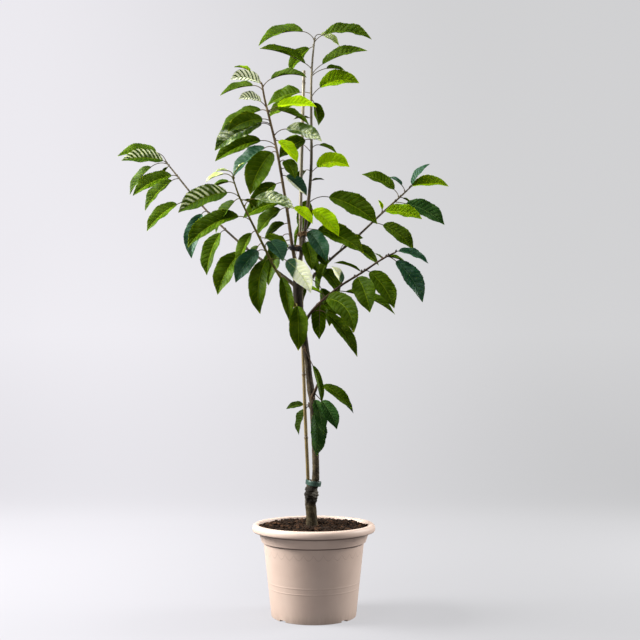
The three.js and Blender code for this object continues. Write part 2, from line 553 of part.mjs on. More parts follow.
// A circle [x, y, radius] that holds a limb's whole section between two heights.
function sectionCircle(stations, low, high) {
  const curve = limbCurve(stations);
  const [from, to] = [pointAtHeight(curve, low), pointAtHeight(curve, high)];
  const above = stations.findIndex((station) => station[2] > low);
  const radius = Math.max(stations[above - 1][3], stations[above][3]);
  const drift = Math.hypot(from.x - to.x, from.y - to.y) / 2;
  return [(from.x + to.x) / 2, (from.y + to.y) / 2, radius + drift];
}

function tie(name, { bottom, height, thickness }, limbs, material) {
  const circles = limbs.map((stations) => sectionCircle(stations, bottom, bottom + height));
  const shape = new THREE.Shape(bandOutline(circles, GAP + thickness));
  shape.holes.push(new THREE.Path(bandOutline(circles, GAP)));
  const geometry = new THREE.ExtrudeGeometry(shape, { depth: height, bevelEnabled: false });
  geometry.translate(0, 0, bottom);
  addPiece(name, geometry, material);
}

tie('graft_tape', GRAFT_TAPE, [TRUNK, CANE], finish(COLOURS.tape, 0.5));
tie('fork_tie', FORK_TIE, [LEFT_LEADER, CANE, RIGHT_LEADER], finish(COLOURS.tie, 0.7));
tie('twine', TWINE, [CANE, RIGHT_LEADER], finish(COLOURS.twine, 0.9));

// ---------------------------------------------------------------- pot

// Inner radius of the pot at a height above its floor.
function boreRadius(z) {
  const profile = [[FLOOR, BASE_RADIUS - WALL], [BODY_TOP, BODY_TOP_RADIUS - WALL],
    [COLLAR_TOP, MOUTH_RADIUS - 3], [POT_HEIGHT, MOUTH_RADIUS]];
  for (let i = 1; i < profile.length; i += 1) {
    const [z0, r0] = profile[i - 1];
    const [z1, r1] = profile[i];
    if (z <= z1) return r0 + ((r1 - r0) * (z - z0)) / (z1 - z0);
  }
  return MOUTH_RADIUS;
}

function turned(profile, sides) {
  const geometry = new THREE.LatheGeometry(profile.map(([r, z]) => new THREE.Vector2(r, z)), sides);
  geometry.rotateX(Math.PI / 2);
  return solidOf(geometry);
}

function potSolid() {
  const inFoot = BASE_RADIUS - FOOT_WIDTH;
  const profile = [
    [0, 0], [PAD_RADIUS, 0], [PAD_RADIUS + 4, UNDERSIDE_RECESS], [inFoot - 3, UNDERSIDE_RECESS],
    [inFoot, 0], [BASE_RADIUS - 1, 0], [BASE_RADIUS, 1.5],
    [BODY_TOP_RADIUS, BODY_TOP], [COLLAR_FOOT_RADIUS, COLLAR_FOOT],
    [COLLAR_TOP_RADIUS, COLLAR_TOP], [RIM_RADIUS - 3, COLLAR_TOP + 2],
    [RIM_RADIUS, POT_HEIGHT - RIM_DROP], [RIM_RADIUS, POT_HEIGHT - 5],
    [RIM_RADIUS - 3, POT_HEIGHT - 1], [RIM_RADIUS - 7, POT_HEIGHT],
    [MOUTH_RADIUS + 3, POT_HEIGHT], [MOUTH_RADIUS, POT_HEIGHT - 3],
    [boreRadius(COLLAR_TOP), COLLAR_TOP], [boreRadius(BODY_TOP), BODY_TOP],
    [boreRadius(FLOOR), FLOOR], [0, FLOOR],
  ];
  let pot = turned(profile, POT_SIDES);
  for (let i = 0; i < DRAIN_HOLES; i += 1) {
    const turnBy = ((i + 0.5) / DRAIN_HOLES) * 2 * Math.PI;
    const hole = new THREE.CylinderGeometry(DRAIN_RADIUS, DRAIN_RADIUS, FLOOR * 3, 12);
    hole.rotateX(Math.PI / 2);
    hole.translate(DRAIN_CIRCLE, 0, FLOOR / 2);
    hole.rotateZ(turnBy + Math.PI / DRAIN_HOLES);
    const notch = new THREE.BoxGeometry(FOOT_WIDTH * 3, FOOT_NOTCH_WIDTH, FOOT_NOTCH_HEIGHT * 2);
    notch.translate(BASE_RADIUS, 0, 0);
    notch.rotateZ(turnBy);
    pot = pot.subtract(solidOf(hole)).subtract(solidOf(notch));
  }
  return pot;
}

addPiece('pot', geometryOf(potSolid()), finish(COLOURS.pot, 0.6));

// ---------------------------------------------------------------- soil

// Repeatable random numbers from 0 to 1.
function seeded(seed) {
  let state = seed;
  return () => {
    state = (state * 16807) % 2147483647;
    return state / 2147483647;
  };
}

function soilSolid() {
  const random = seeded(SOIL_SEED);
  const edge = boreRadius(SOIL_TOP) - GAP;
  const profile = [[0, FLOOR + GAP], [boreRadius(FLOOR) - GAP, FLOOR + GAP],
    [boreRadius(BODY_TOP) - GAP, BODY_TOP], [boreRadius(COLLAR_TOP) - GAP, COLLAR_TOP]];
  for (let ring = 0; ring <= SOIL_RINGS; ring += 1) {
    profile.push([edge * (1 - ring / SOIL_RINGS), SOIL_TOP]);
  }
  const geometry = new THREE.LatheGeometry(
    profile.map(([r, z]) => new THREE.Vector2(r, z)), POT_SIDES);
  geometry.rotateX(Math.PI / 2);
  for (const name of ['normal', 'uv']) geometry.deleteAttribute(name);
  const merged = mergeVertices(geometry, 1e-3);
  const position = merged.attributes.position;
  for (let i = 0; i < position.count; i += 1) {
    const reach = Math.hypot(position.getX(i), position.getY(i)) / edge;
    if (position.getZ(i) < SOIL_TOP - 0.01 || reach > 0.99) continue;
    const crown = SOIL_CROWN * (1 - reach * reach);
    position.setZ(i, SOIL_TOP + crown + CLOD_HEIGHT * (2 * random() - 1));
  }
  return solidOf(merged);
}

const soil = soilSolid().subtract(trunkRoom).subtract(caneRoom);
addPiece('soil', geometryOf(soil.simplify(0.01)), finish(COLOURS.soil, 0.95));

export default model;
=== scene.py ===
# %% [markdown]
# A young columnar cherry tree in its nursery pot.
#
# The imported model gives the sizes, the places and a plain version of every piece. This lesson keeps
# those places and models each piece again with the detail that the real plant has: a moulded pot,
# crumbly compost, bark, a bamboo cane, its ties, and leaves with veins and saw-edged margins.
# Everything is in metres, with +Z up and the front of the plant towards -Y.

# %% Load the frame and keep its size
import math
import random

import bpy
import numpy as np
from mathutils import Matrix, Vector


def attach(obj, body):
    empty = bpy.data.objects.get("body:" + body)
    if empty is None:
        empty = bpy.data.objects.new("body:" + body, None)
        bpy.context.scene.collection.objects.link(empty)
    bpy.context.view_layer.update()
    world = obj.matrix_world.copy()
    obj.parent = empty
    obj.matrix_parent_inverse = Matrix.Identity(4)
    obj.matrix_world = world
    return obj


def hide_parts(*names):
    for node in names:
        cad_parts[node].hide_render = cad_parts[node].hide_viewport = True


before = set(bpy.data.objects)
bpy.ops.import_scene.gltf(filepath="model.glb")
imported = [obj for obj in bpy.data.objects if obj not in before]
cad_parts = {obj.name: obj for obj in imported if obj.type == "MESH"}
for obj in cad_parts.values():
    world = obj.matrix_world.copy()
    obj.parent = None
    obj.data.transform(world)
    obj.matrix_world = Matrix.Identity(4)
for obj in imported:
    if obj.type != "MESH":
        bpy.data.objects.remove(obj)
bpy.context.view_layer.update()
MM = 0.001

# %% [markdown]
# The camera comes first.
#
# The plant is seen from about two metres in front of it and from low down, about as high as its
# lowest leaves, so the lens is tipped up by a few degrees. A 51 mm lens on a 36 mm sensor gives the
# gentle perspective of a studio picture.

# %% Camera
CAMERA_PLACE = (0.014, -2.100, 0.493)
CAMERA_TILT = 4.7  # degrees above level

bpy.ops.object.camera_add(location=CAMERA_PLACE, rotation=(math.radians(90 + CAMERA_TILT), 0, 0))
camera = bpy.context.object
camera.name = "camera"
camera.data.sensor_width = 36
camera.data.lens = 51.3
bpy.context.scene.camera = camera
print("camera at", tuple(round(value, 3) for value in camera.location))

# %% [markdown]
# A few helpers keep the later cells short. An operator works on whatever is selected, so everything
# is deselected before a new piece is started.


# %% Helpers for objects
def deselect_all():
    if bpy.context.mode != "OBJECT":
        bpy.ops.object.mode_set(mode="OBJECT")
    bpy.ops.object.select_all(action="DESELECT")


def pick(*objects):
    """Selects these objects only, and makes the first one active."""
    deselect_all()
    for piece in objects:
        piece.select_set(True)
    bpy.context.view_layer.objects.active = objects[0]


def edit_all():
    """Opens the active piece for editing, with everything on it selected."""
    bpy.ops.object.mode_set(mode="EDIT")
    bpy.ops.mesh.select_all(action="SELECT")


def stop_editing():
    bpy.ops.object.mode_set(mode="OBJECT")


def smooth(piece, sharp_angle=None):
    """Shades a piece smooth, except at edges sharper than an angle in degrees."""
    pick(piece)
    if sharp_angle:
        bpy.ops.object.shade_smooth_by_angle(angle=math.radians(sharp_angle))
    else:
        bpy.ops.object.shade_smooth()


def apply_modifier(piece, kind, **settings):
    """Adds a modifier to a piece, sets it up and applies it."""
    pick(piece)
    bpy.ops.object.modifier_add(type=kind)
    modifier = piece.modifiers[-1]
    for name, value in settings.items():
        setattr(modifier, name, value)
    bpy.ops.object.modifier_apply(modifier=modifier.name)


def join(name, pieces):
    """Joins pieces into the first one, and names it."""
    pick(*pieces)
    bpy.ops.object.join()
    piece = bpy.context.object
    piece.name = name
    piece.data.name = name
    return piece


def face_count(piece):
    return len(piece.data.polygons)


print("helpers ready")

# %% [markdown]
# Materials are node trees. The helpers below add a node, set its inputs by name and link it, so
# that a material reads as a short list of steps. Colours are written as they look on a screen, from
# 0 to 255, and are turned into the linear values that shaders work with.


# %% Helpers for materials
def linear(red, green, blue):
    def channel(value):
        value = value / 255
        return value / 12.92 if value <= 0.04045 else ((value + 0.055) / 1.055) ** 2.4

    return (channel(red), channel(green), channel(blue), 1)


def add_node(tree, kind, inputs=None, **settings):
    """Adds a node. Each input takes a plain value or another node's output socket."""
    node = tree.nodes.new(kind)
    for name, value in settings.items():
        setattr(node, name, value)
    for name, value in (inputs or {}).items():
        if isinstance(value, bpy.types.NodeSocket):
            tree.links.new(value, node.inputs[name])
        else:
            node.inputs[name].default_value = value
    return node


def mix_colours(tree, factor, first, second, blend="MIX"):
    """Mixes two colours and returns the result's socket."""
    mix = add_node(tree, "ShaderNodeMix", {0: factor, 6: first, 7: second},
                   data_type="RGBA", blend_type=blend)
    return mix.outputs[2]


def ramp(tree, value, low, high, start=0.0, end=1.0):
    """Maps a value between two limits to another range, and clamps it."""
    node = add_node(tree, "ShaderNodeMapRange",
                    {"Value": value, "From Min": low, "From Max": high, "To Min": start, "To Max": end})
    return node.outputs["Result"]


def maths(tree, operation, first, second=0.0):
    return add_node(tree, "ShaderNodeMath", {0: first, 1: second}, operation=operation).outputs[0]


def plus(tree, first, second):
    return maths(tree, "ADD", first, second)


def minus(tree, first, second):
    return maths(tree, "SUBTRACT", first, second)


def times(tree, first, second):
    return maths(tree, "MULTIPLY", first, second)


def gap(tree, first, second):
    """How far two values are apart, whichever is the larger."""
    return maths(tree, "ABSOLUTE", minus(tree, first, second))


def tint(tree, colour, mask, amount, shade):
    """Lays a shade over a colour where a mask is set, as strongly as the amount says."""
    if amount != 1:
        mask = times(tree, mask, amount)
    return mix_colours(tree, mask, colour, linear(*shade))


def two_tones(tree, mask, dark, pale):
    """Blends a darker and a paler shade by a slow mottle."""
    return mix_colours(tree, ramp(tree, mask, 0.35, 0.65), linear(*dark), linear(*pale))


def object_place(tree):
    """The place on the piece, in metres, as one vector and as its X, Y and Z."""
    place = add_node(tree, "ShaderNodeTexCoord").outputs["Object"]
    return place, add_node(tree, "ShaderNodeSeparateXYZ", {"Vector": place}).outputs


def new_material(name, **shader_values):
    """A material with one Principled BSDF. Values that are the same all over go on its own sockets."""
    material = bpy.data.materials.new(name)
    material.use_nodes = True
    shader = material.node_tree.nodes["Principled BSDF"]
    for socket, value in shader_values.items():
        shader.inputs[socket.replace("_", " ")].default_value = value
    return material, material.node_tree, shader


def finish_surface(tree, shader, colour, rough, relief, strength, depth):
    """Links colour, roughness and a bump of this depth in metres to the shader."""
    bump = add_node(tree, "ShaderNodeBump", {"Height": relief, "Strength": strength, "Distance": depth})
    for label, socket in (("Base Color", colour), ("Roughness", rough), ("Normal", bump.outputs["Normal"])):
        tree.links.new(socket, shader.inputs[label])


def new_group(name, inputs, outputs):
    """An empty shader node group with named number inputs and outputs."""
    group = bpy.data.node_groups.new(name, "ShaderNodeTree")
    for label, value in inputs.items():
        socket = group.interface.new_socket(label, in_out="INPUT", socket_type="NodeSocketFloat")
        socket.default_value = value
    for label in outputs:
        group.interface.new_socket(label, in_out="OUTPUT", socket_type="NodeSocketFloat")
    return group, group.nodes.new("NodeGroupInput"), group.nodes.new("NodeGroupOutput")


def place_group(tree, group, **values):
    """Places a node group in a tree, with its own values, and returns its outputs."""
    node = tree.nodes.new("ShaderNodeGroup")
    node.node_tree = group
    for label, value in values.items():
        node.inputs[label.replace("_", " ")].default_value = value
    return node.outputs


print("material helpers ready")

# %% [markdown]
# Two effects turn up in several finishes. One is mottling: slow changes of tone with a finer
# grain on top, as on plastic, bark and compost. The other is a pair of textures stretched along the
# vertical, for wood fibre and bark. Each is built once as a node group, and every material places it
# with its own scale.


# %% Shared effects
def build_mottle_group():
    group, given, result = new_group("mottle", {"Broad Scale": 8, "Fine Scale": 300}, ("Broad", "Fine"))
    place = add_node(group, "ShaderNodeTexCoord").outputs["Object"]
    for label, detail in (("Broad", 4), ("Fine", 6)):
        texture = add_node(group, "ShaderNodeTexNoise",
                           {"Vector": place, "Scale": given.outputs[label + " Scale"], "Detail": detail})
        group.links.new(texture.outputs["Fac"], result.inputs[label])
    return group


def build_fibre_group():
    group, given, result = new_group("fibre", {"Scale": 60, "Stretch": 0.08}, ("Fibre", "Patches"))
    place = add_node(group, "ShaderNodeTexCoord").outputs["Object"]
    squash = add_node(group, "ShaderNodeCombineXYZ", {"X": 1, "Y": 1, "Z": given.outputs["Stretch"]})
    drawn = add_node(group, "ShaderNodeVectorMath", {0: place, 1: squash.outputs[0]}, operation="MULTIPLY")
    fine = times(group, given.outputs["Scale"], 8)
    for label, scale in (("Fibre", fine), ("Patches", given.outputs["Scale"])):
        texture = add_node(group, "ShaderNodeTexNoise",
                           {"Vector": drawn.outputs[0], "Scale": scale, "Detail": 5})
        group.links.new(texture.outputs["Fac"], result.inputs[label])
    return group


mottle = build_mottle_group()
fibre = build_fibre_group()
print("shared effects:", mottle.name, "and", fibre.name)

# %% [markdown]
# The plant stands on a seamless pale sheet: a floor that curves up into a back wall, so there is no
# horizon line. It is one long strip. An edge is extruded step by step along the bend, which is how a
# paper roll hangs in a studio. It is not part of the plant.

# %% Backdrop
BACKDROP_WIDTH = 14
FLOOR_FRONT = -4.5
FIRST_STRIP = 0.2  # depth of the strip that the rest is extruded from
BEND_START = 2.2
BEND_RADIUS = 2.4
WALL_HEIGHT = 5.5
BEND_STEPS = 16

deselect_all()
bpy.ops.mesh.primitive_plane_add(size=1, location=(0, FLOOR_FRONT, 0))
backdrop = bpy.context.object
backdrop.name = "backdrop"
bpy.ops.object.mode_set(mode="EDIT")
bpy.ops.transform.resize(value=(BACKDROP_WIDTH, FIRST_STRIP, 1), center_override=(0, FLOOR_FRONT, 0))
stop_editing()
for edge in backdrop.data.edges:
    ends = [(backdrop.matrix_world @ backdrop.data.vertices[i].co).y for i in edge.vertices]
    edge.select = min(ends) > FLOOR_FRONT
for polygon in backdrop.data.polygons:
    polygon.select = False
for vertex in backdrop.data.vertices:
    vertex.select = (backdrop.matrix_world @ vertex.co).y > FLOOR_FRONT
path = [(BEND_START, 0)]
for step in range(1, BEND_STEPS + 1):
    angle = math.radians(90 * step / BEND_STEPS)
    path.append((BEND_START + BEND_RADIUS * math.sin(angle), BEND_RADIUS * (1 - math.cos(angle))))
path.append((BEND_START + BEND_RADIUS, WALL_HEIGHT))
bpy.ops.object.mode_set(mode="EDIT")
bpy.ops.mesh.select_mode(type="EDGE")
here = (FLOOR_FRONT + FIRST_STRIP / 2, 0)
for y, z in path:
    bpy.ops.mesh.extrude_edges_move(TRANSFORM_OT_translate={"value": (0, y - here[0], z - here[1])})
    here = (y, z)
stop_editing()
bpy.ops.object.shade_smooth()
bpy.ops.object.transform_apply(location=True, rotation=True, scale=True)
print("backdrop has", face_count(backdrop), "faces")

# %% [markdown]
# The light is the soft light of a product picture. The brightest panel stands level with the plant,
# square to its left: it makes the pot's left side glow. A second one on the right, a little behind,
# lifts the other edge, and one overhead lights the upper sides of the leaves. Little comes from the
# front, so the middle of the pot is the darkest part of it. The paper glows a little by itself, which
# stands for the lamps that a studio points at its background, brighter on the left than on the
# right, in a fan of rays that meet in front of the plant. What the camera sees beyond the paper has
# the paper's tone, and lights the plant only dimly.

# %% Lights
bpy.context.scene.view_settings.view_transform = "Standard"


def softbox(name, place, aim, size, power):
    """A square panel light at a place, turned towards a point."""
    deselect_all()
    bpy.ops.object.light_add(type="AREA", location=place)
    light = bpy.context.object
    light.name = name
    light.data.shape = "SQUARE"
    light.data.size = size
    light.data.energy = power
    light.rotation_euler = (Vector(aim) - Vector(place)).to_track_quat("-Z", "Y").to_euler()


softbox("key_panel", (-2.1, 0.0, 1.7), aim=(0, 0, 0.5), size=1.1, power=170)
softbox("edge_panel", (1.95, 0.5, 1.2), aim=(0, 0, 0.4), size=1.0, power=60)
softbox("top_panel", (-0.5, -0.5, 2.9), aim=(0, 0, 0.8), size=1.2, power=42)
softbox("front_panel", (-1.4, -2.4, 1.6), aim=(0, 0, 0.8), size=1.4, power=8)


def build_world():
    world = bpy.data.worlds.new("studio")
    world.use_nodes = True
    tree = world.node_tree
    seen = add_node(tree, "ShaderNodeLightPath").outputs["Is Camera Ray"]
    colour = mix_colours(tree, seen, linear(128, 130, 136), linear(222, 221, 224))
    tree.links.new(colour, tree.nodes["Background"].inputs["Color"])
    tree.nodes["Background"].inputs["Strength"].default_value = 1
    return world


FAN_FOOT = 2.1  # how far in front of the plant the rays of the fan meet
FAN_SLANT = 0.03  # how much further right a ray lies for each metre up the wall


def paper_material():
    material, tree, shader = new_material("backdrop_paper", Roughness=0.95, Specular_IOR_Level=0.05)
    _, parts = object_place(tree)
    distance = maths(tree, "MAXIMUM", plus(tree, parts["Y"], FAN_FOOT), 0.8)
    fan = plus(tree, maths(tree, "DIVIDE", parts["X"], distance), times(tree, parts["Z"], FAN_SLANT))
    fade = add_node(tree, "ShaderNodeMapRange", {"Value": fan, "From Min": -0.28, "From Max": 0.3},
                    interpolation_type="SMOOTHSTEP").outputs["Result"]
    soft = place_group(tree, mottle, Broad_Scale=0.6, Fine_Scale=4)
    paper = mix_colours(tree, soft["Broad"], linear(84, 84, 86), linear(90, 89, 91))
    glow = mix_colours(tree, fade, linear(233, 231, 236), linear(203, 203, 204))
    # The painted glow is weaker on the floor and towards the front than on the wall.
    floor_share = times(tree, ramp(tree, parts["Z"], 0.0, 0.9, 0.86, 1.0),
                        ramp(tree, parts["Y"], 0.0, 1.5, 0.86, 1.0))
    glow = mix_colours(tree, 1, glow, floor_share, blend="MULTIPLY")
    seen = add_node(tree, "ShaderNodeLightPath").outputs["Is Camera Ray"]
    tree.links.new(paper, shader.inputs["Base Color"])
    tree.links.new(glow, shader.inputs["Emission Color"])
    tree.links.new(ramp(tree, seen, 0, 1, 0.3, 1), shader.inputs["Emission Strength"])
    return material


bpy.context.scene.world = build_world()
backdrop.data.materials.append(paper_material())
print("four panels and a pale world")

# %% [markdown]
# Turned pieces, like the pot, are built as on a wheel: a circle is added, then extruded and resized
# ring by ring along the profile. The helper below does just that, and closes both ends.


# %% Helper for turned pieces
def turned_piece(name, profile, sides):
    """Extrudes a circle through (radius, height) pairs in millimetres, and closes both ends."""
    deselect_all()
    radius, height = profile[0]
    bpy.ops.mesh.primitive_circle_add(
        vertices=sides, radius=radius * MM, fill_type="NGON", location=(0, 0, height * MM))
    piece = bpy.context.object
    piece.name = name
    piece.data.name = name
    bpy.ops.object.transform_apply(location=True, rotation=True, scale=True)
    edit_all()
    for next_radius, next_height in profile[1:]:
        rise = (next_height - height) * MM
        bpy.ops.mesh.extrude_region_move(TRANSFORM_OT_translate={"value": (0, 0, rise)})
        scale = next_radius / radius
        bpy.ops.transform.resize(
            value=(scale, scale, 1), center_override=(0, 0, next_height * MM))
        radius, height = next_radius, next_height
    stop_editing()
    return piece


def face_outwards(piece):
    pick(piece)
    edit_all()
    bpy.ops.mesh.normals_make_consistent(inside=False)
    stop_editing()


def cut_away(piece, cutters):
    """Subtracts closed shapes from a piece, and deletes them."""
    for cutter in cutters:
        face_outwards(cutter)
        apply_modifier(piece, "BOOLEAN", operation="DIFFERENCE", object=cutter, solver="EXACT")
        pick(cutter)
        bpy.ops.object.delete()


print("turned-piece helper ready")

# %% [markdown]
# The pot is an injection-moulded nursery container. Its wall is thin and widens upwards, a collar
# steps out near the top, and the rim is rolled over so that it can be carried. A foot ring with four
# notches and a floor with four holes let water run out.
#
# Real ones are turned shapes, so the profile below goes from the middle of the underside, out over
# the foot, up the wall, over the rim and down the inside to the floor. Small steps at each corner
# stand for the mould's rounded edges, and two low ridges ring the wall a third of the way up. The
# holes and notches are cut with booleans afterwards.

# %% Pot
POT_PROFILE = [
    (30, 0), (30.8, 3.2), (32, 4), (83.3, 4), (84.3, 3.2), (85, 0.8), (86, 0), (94, 0), (95.1, 0.5),
    (95.6, 1.8), (97.2, 17), (99.1, 34), (100.9, 50), (102.2, 61.8), (102.3, 62.6), (102.6, 63.2),
    (102.8, 64.2), (102.75, 65.2), (102.7, 66), (102.8, 66.8), (103.6, 74.4), (103.7, 75.2), (104, 75.8),
    (104.2, 76.8), (104.15, 77.8), (104.1, 78.6), (104.2, 79.4), (105.7, 93), (107.8, 111),
    (109.8, 129), (111.8, 147), (113.1, 158.6), (113.25, 160), (113.3, 161.1), (113.6, 162.2),
    (114.6, 162.9), (117, 163.3), (118, 164), (118.4, 165.2), (118.8, 166.8), (119.3, 168.2),
    (121.5, 174.6), (123.6, 180.6), (124.1, 182.2), (124.4, 183.6), (125, 184.8), (126.4, 185.6),
    (129.6, 186), (134.4, 186.3), (136.9, 186.9), (138.3, 188.2), (138.9, 190.4), (139, 193),
    (138.7, 196.2), (137.6, 199.2), (135.4, 201.6), (132.8, 202.8), (130, 203), (127.4, 202.6),
    (125.2, 201.5), (124.2, 199.6),
    (123.8, 197), (121.6, 185.5), (120.6, 182.4), (115.6, 167.5), (113.6, 164.9), (111.3, 162.6),
    (110.2, 159), (103.4, 90), (93.6, 12), (92.6, 8.4), (90.6, 7), (40, 7), (4, 7),
]
POT_SIDES = 128

HOLES = 4
HOLE_RADIUS = 8
HOLE_CIRCLE = 58
NOTCH_SIZE = (20, 18, 8)
NOTCH_CIRCLE = 90


def on_circle(radius, degrees, height):
    """A place in metres, from a radius and a height in millimetres and a bearing."""
    angle = math.radians(degrees)
    return (radius * MM * math.cos(angle), radius * MM * math.sin(angle), height * MM)


pot = turned_piece("nursery_pot", POT_PROFILE, POT_SIDES)
face_outwards(pot)
cutters = []
for bearing in range(0, 360, 360 // HOLES):
    deselect_all()
    bpy.ops.mesh.primitive_cylinder_add(
        vertices=24, radius=HOLE_RADIUS * MM, depth=20 * MM, location=on_circle(HOLE_CIRCLE, bearing, 6))
    cutters.append(bpy.context.object)
    deselect_all()
    bpy.ops.mesh.primitive_cube_add(size=1, location=on_circle(NOTCH_CIRCLE, bearing + 45, 0))
    notch = bpy.context.object
    notch.scale = [side * MM for side in NOTCH_SIZE]
    notch.rotation_euler.z = math.radians(bearing + 45)
    cutters.append(notch)
cut_away(pot, cutters)
smooth(pot, sharp_angle=32)
print("pot has", face_count(pot), "faces")

# %% [markdown]
# The compost fills the pot to just below the rim. It is a coarse mix: dark peat crumbs with a few
# paler bits of bark. The bed is another turned piece, roughened by a displacement that only acts on
# its top. Loose crumbs are modelled once, as two rough pebbles with few faces, and scattered.

# %% Bed of compost
SOIL_TOP = 196.5
SOIL_EDGE = 123.1
SOIL_CROWN = 2.5
SOIL_RINGS = 26


def soil_height(share):
    """The height of the compost at a share of its radius. Its middle stands a little higher."""
    return SOIL_TOP + SOIL_CROWN * (1 - share ** 2)


def weigh(piece, name, weight):
    """Adds a vertex group whose weights come from a formula of each point's place."""
    group = piece.vertex_groups.new(name=name)
    for vertex in piece.data.vertices:
        group.add([vertex.index], weight(vertex.co), "REPLACE")


def roughen(piece, group, kind, size, strength, level, depth=None, **settings):
    """Moves a vertex group's points by a procedural texture. Size and strength: mm."""
    texture = bpy.data.textures.new(group + "_" + kind.lower(), kind)
    texture.noise_scale = size * MM
    if depth:
        texture.noise_depth = depth
    apply_modifier(piece, "DISPLACE", texture=texture, strength=strength * MM, mid_level=level,
                   texture_coords="LOCAL", vertex_group=group, **settings)


def on_soil_top(point):
    inside = math.hypot(point.x, point.y) < (SOIL_EDGE - 0.5) * MM
    return 1 if inside and point.z > (SOIL_TOP - 0.5) * MM else 0


bed_profile = [(91.4, 7.4), (92.6, 9), (109.6, 158), (110.8, 162.4), (113.1, 165.2), (120, 182.4),
               (SOIL_EDGE, 194)]
for ring in range(SOIL_RINGS):
    share = 1 - ring / SOIL_RINGS
    bed_profile.append((SOIL_EDGE * share, soil_height(share)))
soil = turned_piece("compost", bed_profile, 96)
face_outwards(soil)
weigh(soil, "top", on_soil_top)
roughen(soil, "top", "CLOUDS", size=16, strength=9, level=0.52, depth=3, direction="Z")
smooth(soil)
print("compost bed has", face_count(soil), "faces")

# %% [markdown]
# Hundreds of copies would be slow as objects, so the copies are written into one mesh: each crumb
# is the modelled pebble turned, scaled and moved by its own numbers. The random numbers are seeded,
# so that the compost looks the same on every run.


# %% Crumbs and bark chips
def mesh_arrays(piece):
    """A mesh as plain arrays: points, and the corner numbers of each face."""
    points = np.empty(len(piece.data.vertices) * 3)
    piece.data.vertices.foreach_get("co", points)
    return points.reshape(-1, 3), [tuple(face.vertices) for face in piece.data.polygons]


def many_copies(name, point_sets, faces):
    """One piece made of many copies of a mesh. Each has its own points, all have the same faces."""
    all_faces = []
    for number, points in enumerate(point_sets):
        offset = number * len(points)
        all_faces += [tuple(corner + offset for corner in face) for face in faces]
    mesh = bpy.data.meshes.new(name)
    mesh.from_pydata(np.concatenate(point_sets).tolist(), [], all_faces)
    piece = bpy.data.objects.new(name, mesh)
    bpy.context.collection.objects.link(piece)
    return piece


def scatter(name, template, places):
    """Copies a small mesh to many places, each a 4x4 matrix, in one mesh."""
    points, faces = mesh_arrays(template)
    matrices = [np.array(place) for place in places]
    return many_copies(name, [points @ m[:3, :3].T + m[:3, 3] for m in matrices], faces)


def pebble(name, subdivisions, roughness, seed):
    """A rough few-faced lump, one unit across."""
    deselect_all()
    bpy.ops.mesh.primitive_ico_sphere_add(subdivisions=subdivisions, radius=0.5)
    lump = bpy.context.object
    lump.name = name
    edit_all()
    bpy.ops.transform.vertex_random(offset=roughness, seed=seed)
    stop_editing()
    return lump


CRUMBS = 620
CHIPS = 260
TRUNK_CLEARANCE = (-4, 0, 13)  # x, y and radius of the ring round the trunk that stays bare
CANE_CLEARANCE = (-12, 23, 6)
dice = random.Random(12)
crumb = pebble("crumb", subdivisions=2, roughness=0.12, seed=3)
chip = pebble("chip", subdivisions=1, roughness=0.16, seed=8)


def lie_on_soil(size, flatness):
    """A random place on the compost, clear of the stems, for a lump of this size in millimetres."""
    while True:
        reach = (SOIL_EDGE - 3.5) * math.sqrt(dice.random())
        angle = dice.uniform(0, 2 * math.pi)
        x, y = reach * math.cos(angle), reach * math.sin(angle)
        if all(math.hypot(x - a, y - b) > bare + size for a, b, bare in (TRUNK_CLEARANCE, CANE_CLEARANCE)):
            break
    turn = Matrix.Rotation(dice.uniform(0, 6.28), 4, "Z") @ Matrix.Rotation(dice.uniform(-0.5, 0.5), 4, "X")
    shape = Matrix.Diagonal((size * dice.uniform(0.8, 1.5), size, size * flatness, 1))
    height = soil_height(math.hypot(x, y) / SOIL_EDGE) + dice.uniform(-0.1, 0.35) * size
    return Matrix.Scale(MM, 4) @ Matrix.Translation((x, y, height)) @ turn @ shape


crumbs = scatter("crumbs", crumb, [lie_on_soil(dice.uniform(3, 8.5), 0.75) for _ in range(CRUMBS)])
chips = scatter("chips", chip, [lie_on_soil(dice.uniform(4, 11), 0.35) for _ in range(CHIPS)])
pick(crumb, chip)
bpy.ops.object.delete()
print("crumbs:", face_count(crumbs), "faces, chips:", face_count(chips), "faces")

# %% [markdown]
# Every limb of the plant is a smooth curve through a few stations, each with its own thickness. The
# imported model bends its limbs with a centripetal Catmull-Rom curve, so the same curve is used here:
# it keeps every leaf and branch where the model has it. Each row is x, y, z and radius, in
# millimetres, from root to tip.

# %% Stations of the limbs
TRUNK = [
    (-4, 2, 108, 9), (-4, 0, 150, 11.5), (-4, 0, 192, 12.8), (-5.5, 0, 225, 12.2),
    (-7.5, 0, 245, 12.2), (-6.5, 0, 256, 14.6), (-5.8, 0, 268, 16.6), (-4.5, 0, 279, 15),
    (0.5, 0, 290, 10.4), (3.6, 0, 300, 8.6), (4.4, 0, 324, 8), (4, 0, 350, 7.8),
    (0.5, 0, 411, 7.4), (-3.7, 0, 481, 7.3), (-7, 0, 504, 8.8), (-11, 0, 536, 7.1),
    (-14.3, 0, 573, 6.7), (-20.8, 0, 608, 8.2), (-27, 0, 650, 8.9), (-37.3, 0, 709, 9.7),
    (-38.5, 0, 745, 10.3), (-39, 0, 775, 9.2), (-39, 0, 792, 6),
]
CANE = [
    (-9, 25, 60, 4), (-13, 22.5, 280, 4), (-21.5, 17, 481, 4), (-31.5, 15, 890, 4),
    (-24, 15, 1262, 3.8),
]
